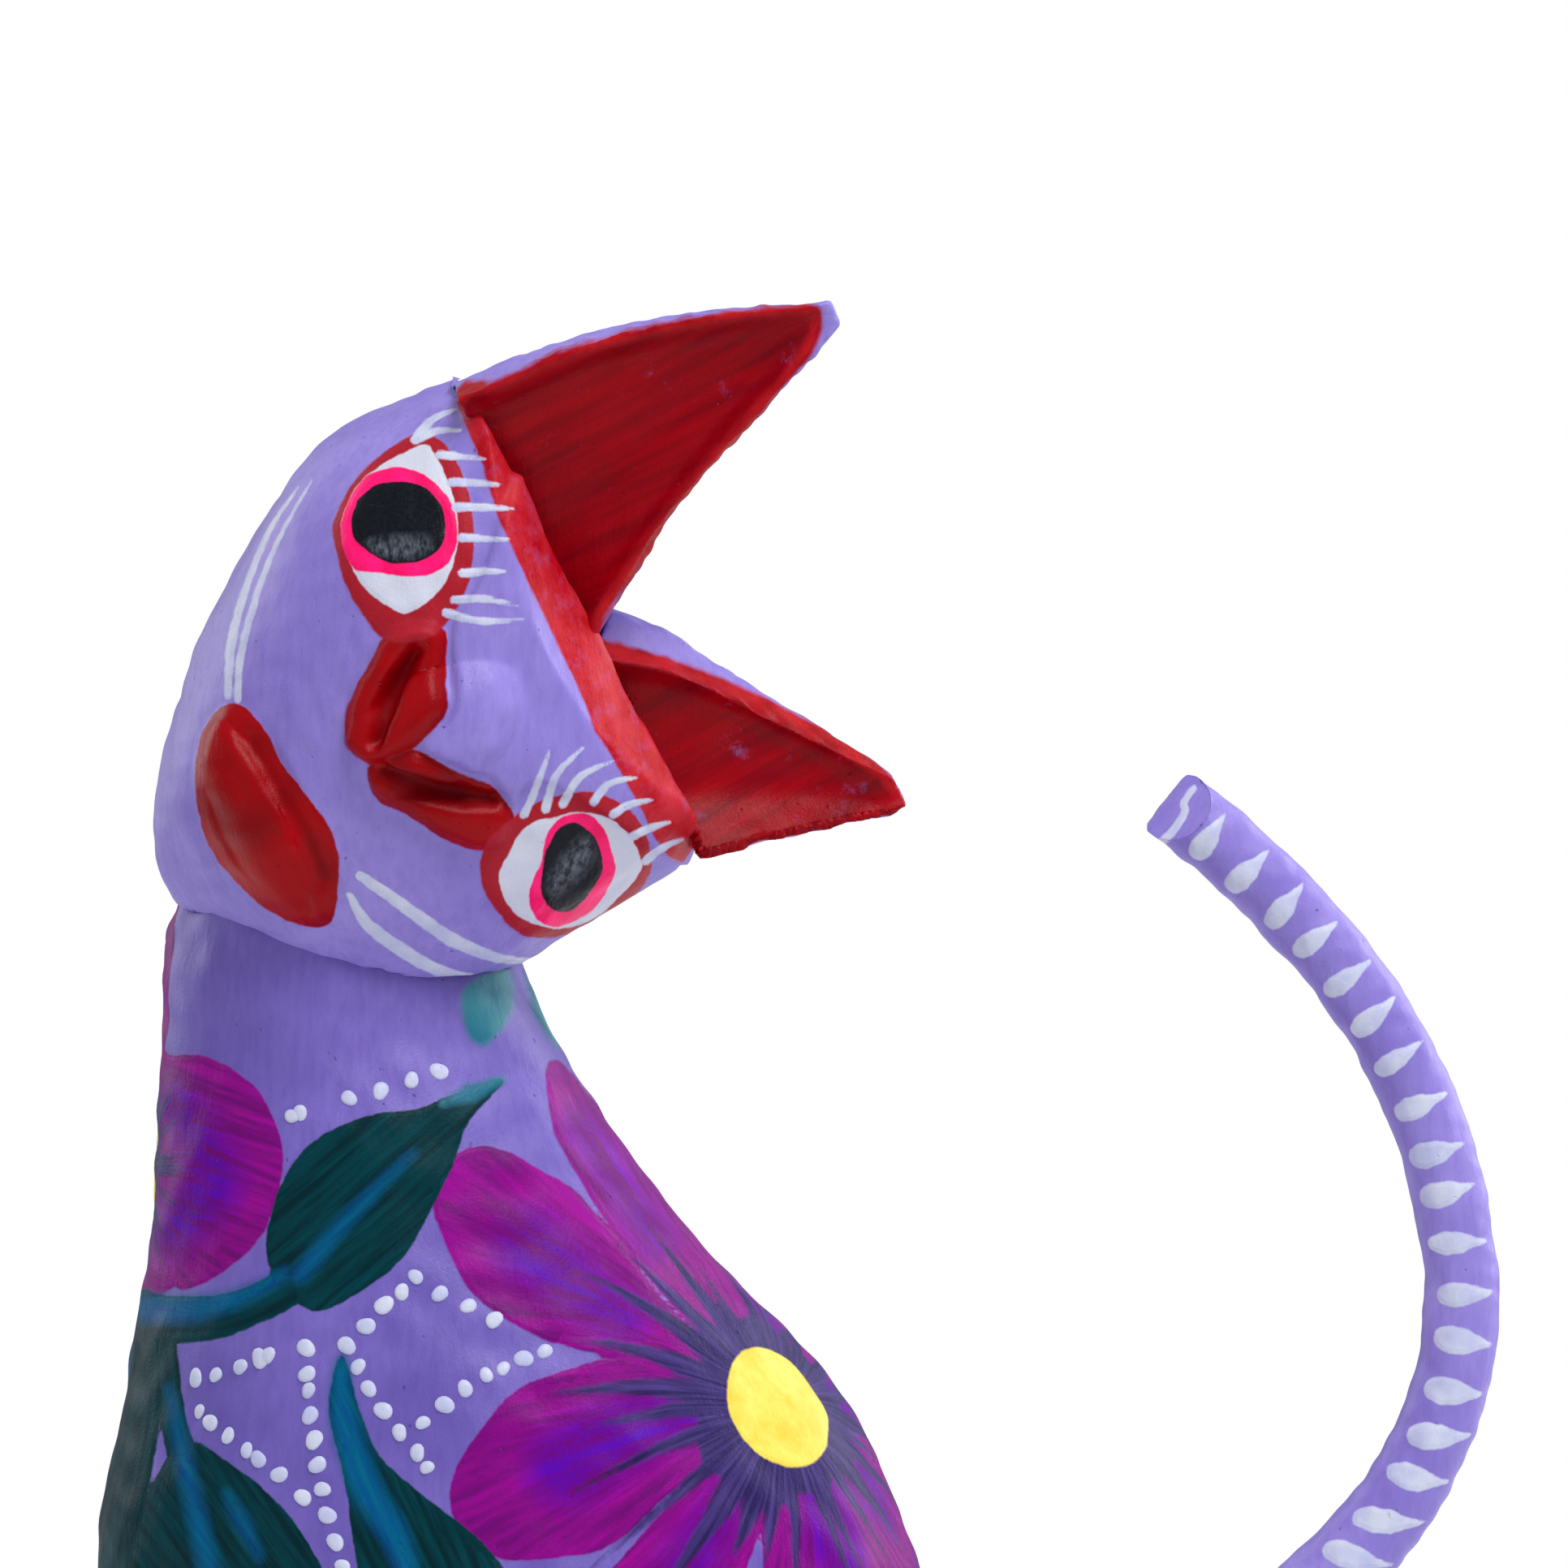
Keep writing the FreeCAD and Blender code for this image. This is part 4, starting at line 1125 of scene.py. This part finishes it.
def make_tail():
    tail = Carving("tail", 0.4, 5)
    line = smooth_line([(x, 0.0, z) for x, z in TAIL_LINE], 12)
    ahead = np.gradient(line, axis=0)
    ahead /= np.linalg.norm(ahead, axis=1)[:, None]

    # The knife took the tip off at a slant, so its end faces the viewer a little
    facing = ahead[-1] * math.cos(TAIL_CUT_LEAN) + np.array([0.0, -1.0, 0.0]) * math.sin(TAIL_CUT_LEAN)
    over = np.clip((tail.points - line[-1]) @ facing + TAIL_CUT_BACK, 0, None)
    near = np.linalg.norm(tail.points - line[-1], axis=1) < 14.0
    tail.shift(-np.where(near, over, 0)[:, None] * ahead[-1] / math.cos(TAIL_CUT_LEAN))
    tail.push(0.10 * ripple(tail.points, 9.0, 51) + 0.04 * ripple(tail.points, 3.0, 52))

    walked = np.r_[0.0, np.cumsum(np.linalg.norm(np.diff(line, axis=0), axis=1))]
    gaps = tail.points[:, None, :] - line[None, :, :]
    closest = np.argmin((gaps ** 2).sum(axis=2), axis=1)
    offset = tail.points - line[closest]
    along = walked[closest] + (offset * ahead[closest]).sum(axis=1)
    outer = np.cross([0.0, 1.0, 0.0], ahead)
    outwards = (offset * outer[closest]).sum(axis=1)
    around = np.arctan2(outwards, np.abs(offset[:, 1]) + 1e-6) * TAIL_RADIUS
    flat = np.stack([along, around], axis=1)
    rng = np.random.default_rng(7)
    for k in range(int((walked[-1] - 28.0) / TAIL_STROKE_GAP)):
        at = walked[-1] - TAIL_FIRST_STROKE - k * TAIL_STROKE_GAP + rng.uniform(-0.5, 0.5)
        here = np.argmin(np.abs(walked - at))
        level = 0.7 * float(step_up(np.array(TAIL_LEVEL_BELOW - line[here][2]), 0.0, 14.0))
        lean = level * ahead[here][0] / max(outer[here][0], 0.3) + rng.uniform(-0.12, 0.12)
        slide = level * 0.8
        spine = np.array([(at + lean * across, across + slide) for across, _ in TAIL_DROP])
        slim = 1.0 - 0.16 * float(step_up(np.array(line[here][2]), 148.0, 156.0))
        size = rng.uniform(0.88, 1.06) * slim
        drop, _, _ = stroke_distance(flat, smooth_line(spine, 3), np.interp(
            np.linspace(0, 4, 13), range(5), [half * size for _, half in TAIL_DROP]))
        tail.lay("white_line", drop)
    mark, _, _ = stroke_distance(seen_flat(tail.points), smooth_line(TAIL_END_MARK, 6),
                                 np.linspace(0.35, 0.55, (len(TAIL_END_MARK) - 1) * 6 + 1))
    tail.lay("white_line", np.where(tail.normals[:, 1] < 0.1, mark, OUTSIDE))
    tail.finish(painted("tail_paint", TAIL_LAYERS), "tail")


# ---- the hidden pieces --------------------------------------------------------------------------


def dress_hidden_pieces():
    wood = bare_wood("whittled_pine")
    steel = nail_steel("painted_nail")
    for name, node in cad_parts.items():
        material = None
        if name.startswith("nail_"):
            material = steel
        elif name.endswith("dowel") or "peg" in name:
            material = wood
        if material:
            node.data.materials.clear()
            node.data.materials.append(material)


# ---- surroundings -------------------------------------------------------------------------------


def make_floor():
    bpy.ops.mesh.primitive_plane_add(size=1.2, location=(0.0, 0.0, -0.0002))
    floor = bpy.context.object
    floor.name = "studio_floor"
    s = Shader("floor_paper")
    grain = s.noise(0.05, 3.0, 0.5)
    colour = s.mix(grain, (0.86, 0.86, 0.87, 1.0), (0.90, 0.90, 0.91, 1.0))
    floor.data.materials.append(s.close(colour, 0.8, None, specular=0.1))


# Lamps: name, place in metres, size in metres and power in watts. All point at the figure's middle.
LAMPS = [
    ("key", (0.32, -0.50, 0.93), 0.4, 7.9),
    ("right_rim", (0.75, 0.35, 0.45), 0.6, 5.0),
    ("left_rim", (-0.75, 0.45, 0.45), 0.6, 3.0),
    ("fill", (-0.7, -0.7, 0.35), 0.8, 0.8),
]
LAMP_TARGET = (0.0, 0.0, 0.15)


def add_light(name, place, size, power):
    data = bpy.data.lights.new(name, "AREA")
    data.shape = "SQUARE"
    data.size = size
    data.energy = power
    lamp = bpy.data.objects.new(name, data)
    bpy.context.scene.collection.objects.link(lamp)
    lamp.location = place
    lamp.rotation_euler = (Vector(LAMP_TARGET) - Vector(place)).to_track_quat("-Z", "Y").to_euler()


def make_studio():
    scene = bpy.context.scene
    world = bpy.data.worlds.new("white_room")
    world.use_nodes = True
    scene.world = world
    tree = world.node_tree
    tree.nodes.clear()
    ambient = tree.nodes.new("ShaderNodeBackground")
    ambient.inputs["Color"].default_value = (0.93, 0.95, 1.0, 1.0)
    # Brighter from above and from the right than from below
    direction = tree.nodes.new("ShaderNodeTexCoord").outputs["Generated"]
    slant = tree.nodes.new("ShaderNodeVectorMath")
    slant.operation = "DOT_PRODUCT"
    slant.inputs[1].default_value = (0.25, -0.1, 0.96)
    strength = tree.nodes.new("ShaderNodeMapRange")
    strength.inputs["From Min"].default_value = -1.0
    strength.inputs["To Min"].default_value = 0.05
    strength.inputs["To Max"].default_value = 0.62
    tree.links.new(direction, slant.inputs[0])
    tree.links.new(slant.outputs["Value"], strength.inputs["Value"])
    tree.links.new(strength.outputs["Result"], ambient.inputs["Strength"])
    backdrop = tree.nodes.new("ShaderNodeBackground")
    backdrop.inputs["Color"].default_value = (1.0, 1.0, 1.0, 1.0)
    backdrop.inputs["Strength"].default_value = 1.0
    path = tree.nodes.new("ShaderNodeLightPath")
    choose = tree.nodes.new("ShaderNodeMixShader")
    out = tree.nodes.new("ShaderNodeOutputWorld")
    tree.links.new(path.outputs["Is Camera Ray"], choose.inputs[0])
    tree.links.new(ambient.outputs[0], choose.inputs[1])
    tree.links.new(backdrop.outputs[0], choose.inputs[2])
    tree.links.new(choose.outputs[0], out.inputs[0])

    for lamp in LAMPS:
        add_light(*lamp)
    scene.view_settings.view_transform = "Standard"

    data = bpy.data.cameras.new("camera")
    data.sensor_width = 36.0
    data.lens = data.sensor_width * EYE_AWAY / FIELD_WIDTH
    camera = bpy.data.objects.new("camera", data)
    scene.collection.objects.link(camera)
    camera.location = Vector((EYE_X, -EYE_AWAY, EYE_Z)) / METRE
    camera.rotation_euler = (math.radians(90.0), 0.0, 0.0)
    scene.camera = camera


make_torso()
make_head()
make_ear("ear_right", 60)
make_ear("ear_left", 70)
for word, side in (("left", -1), ("right", 1)):
    make_front_leg(word, side)
    make_hind_leg(word, side)
make_tail()
dress_hidden_pieces()
make_floor()
make_studio()
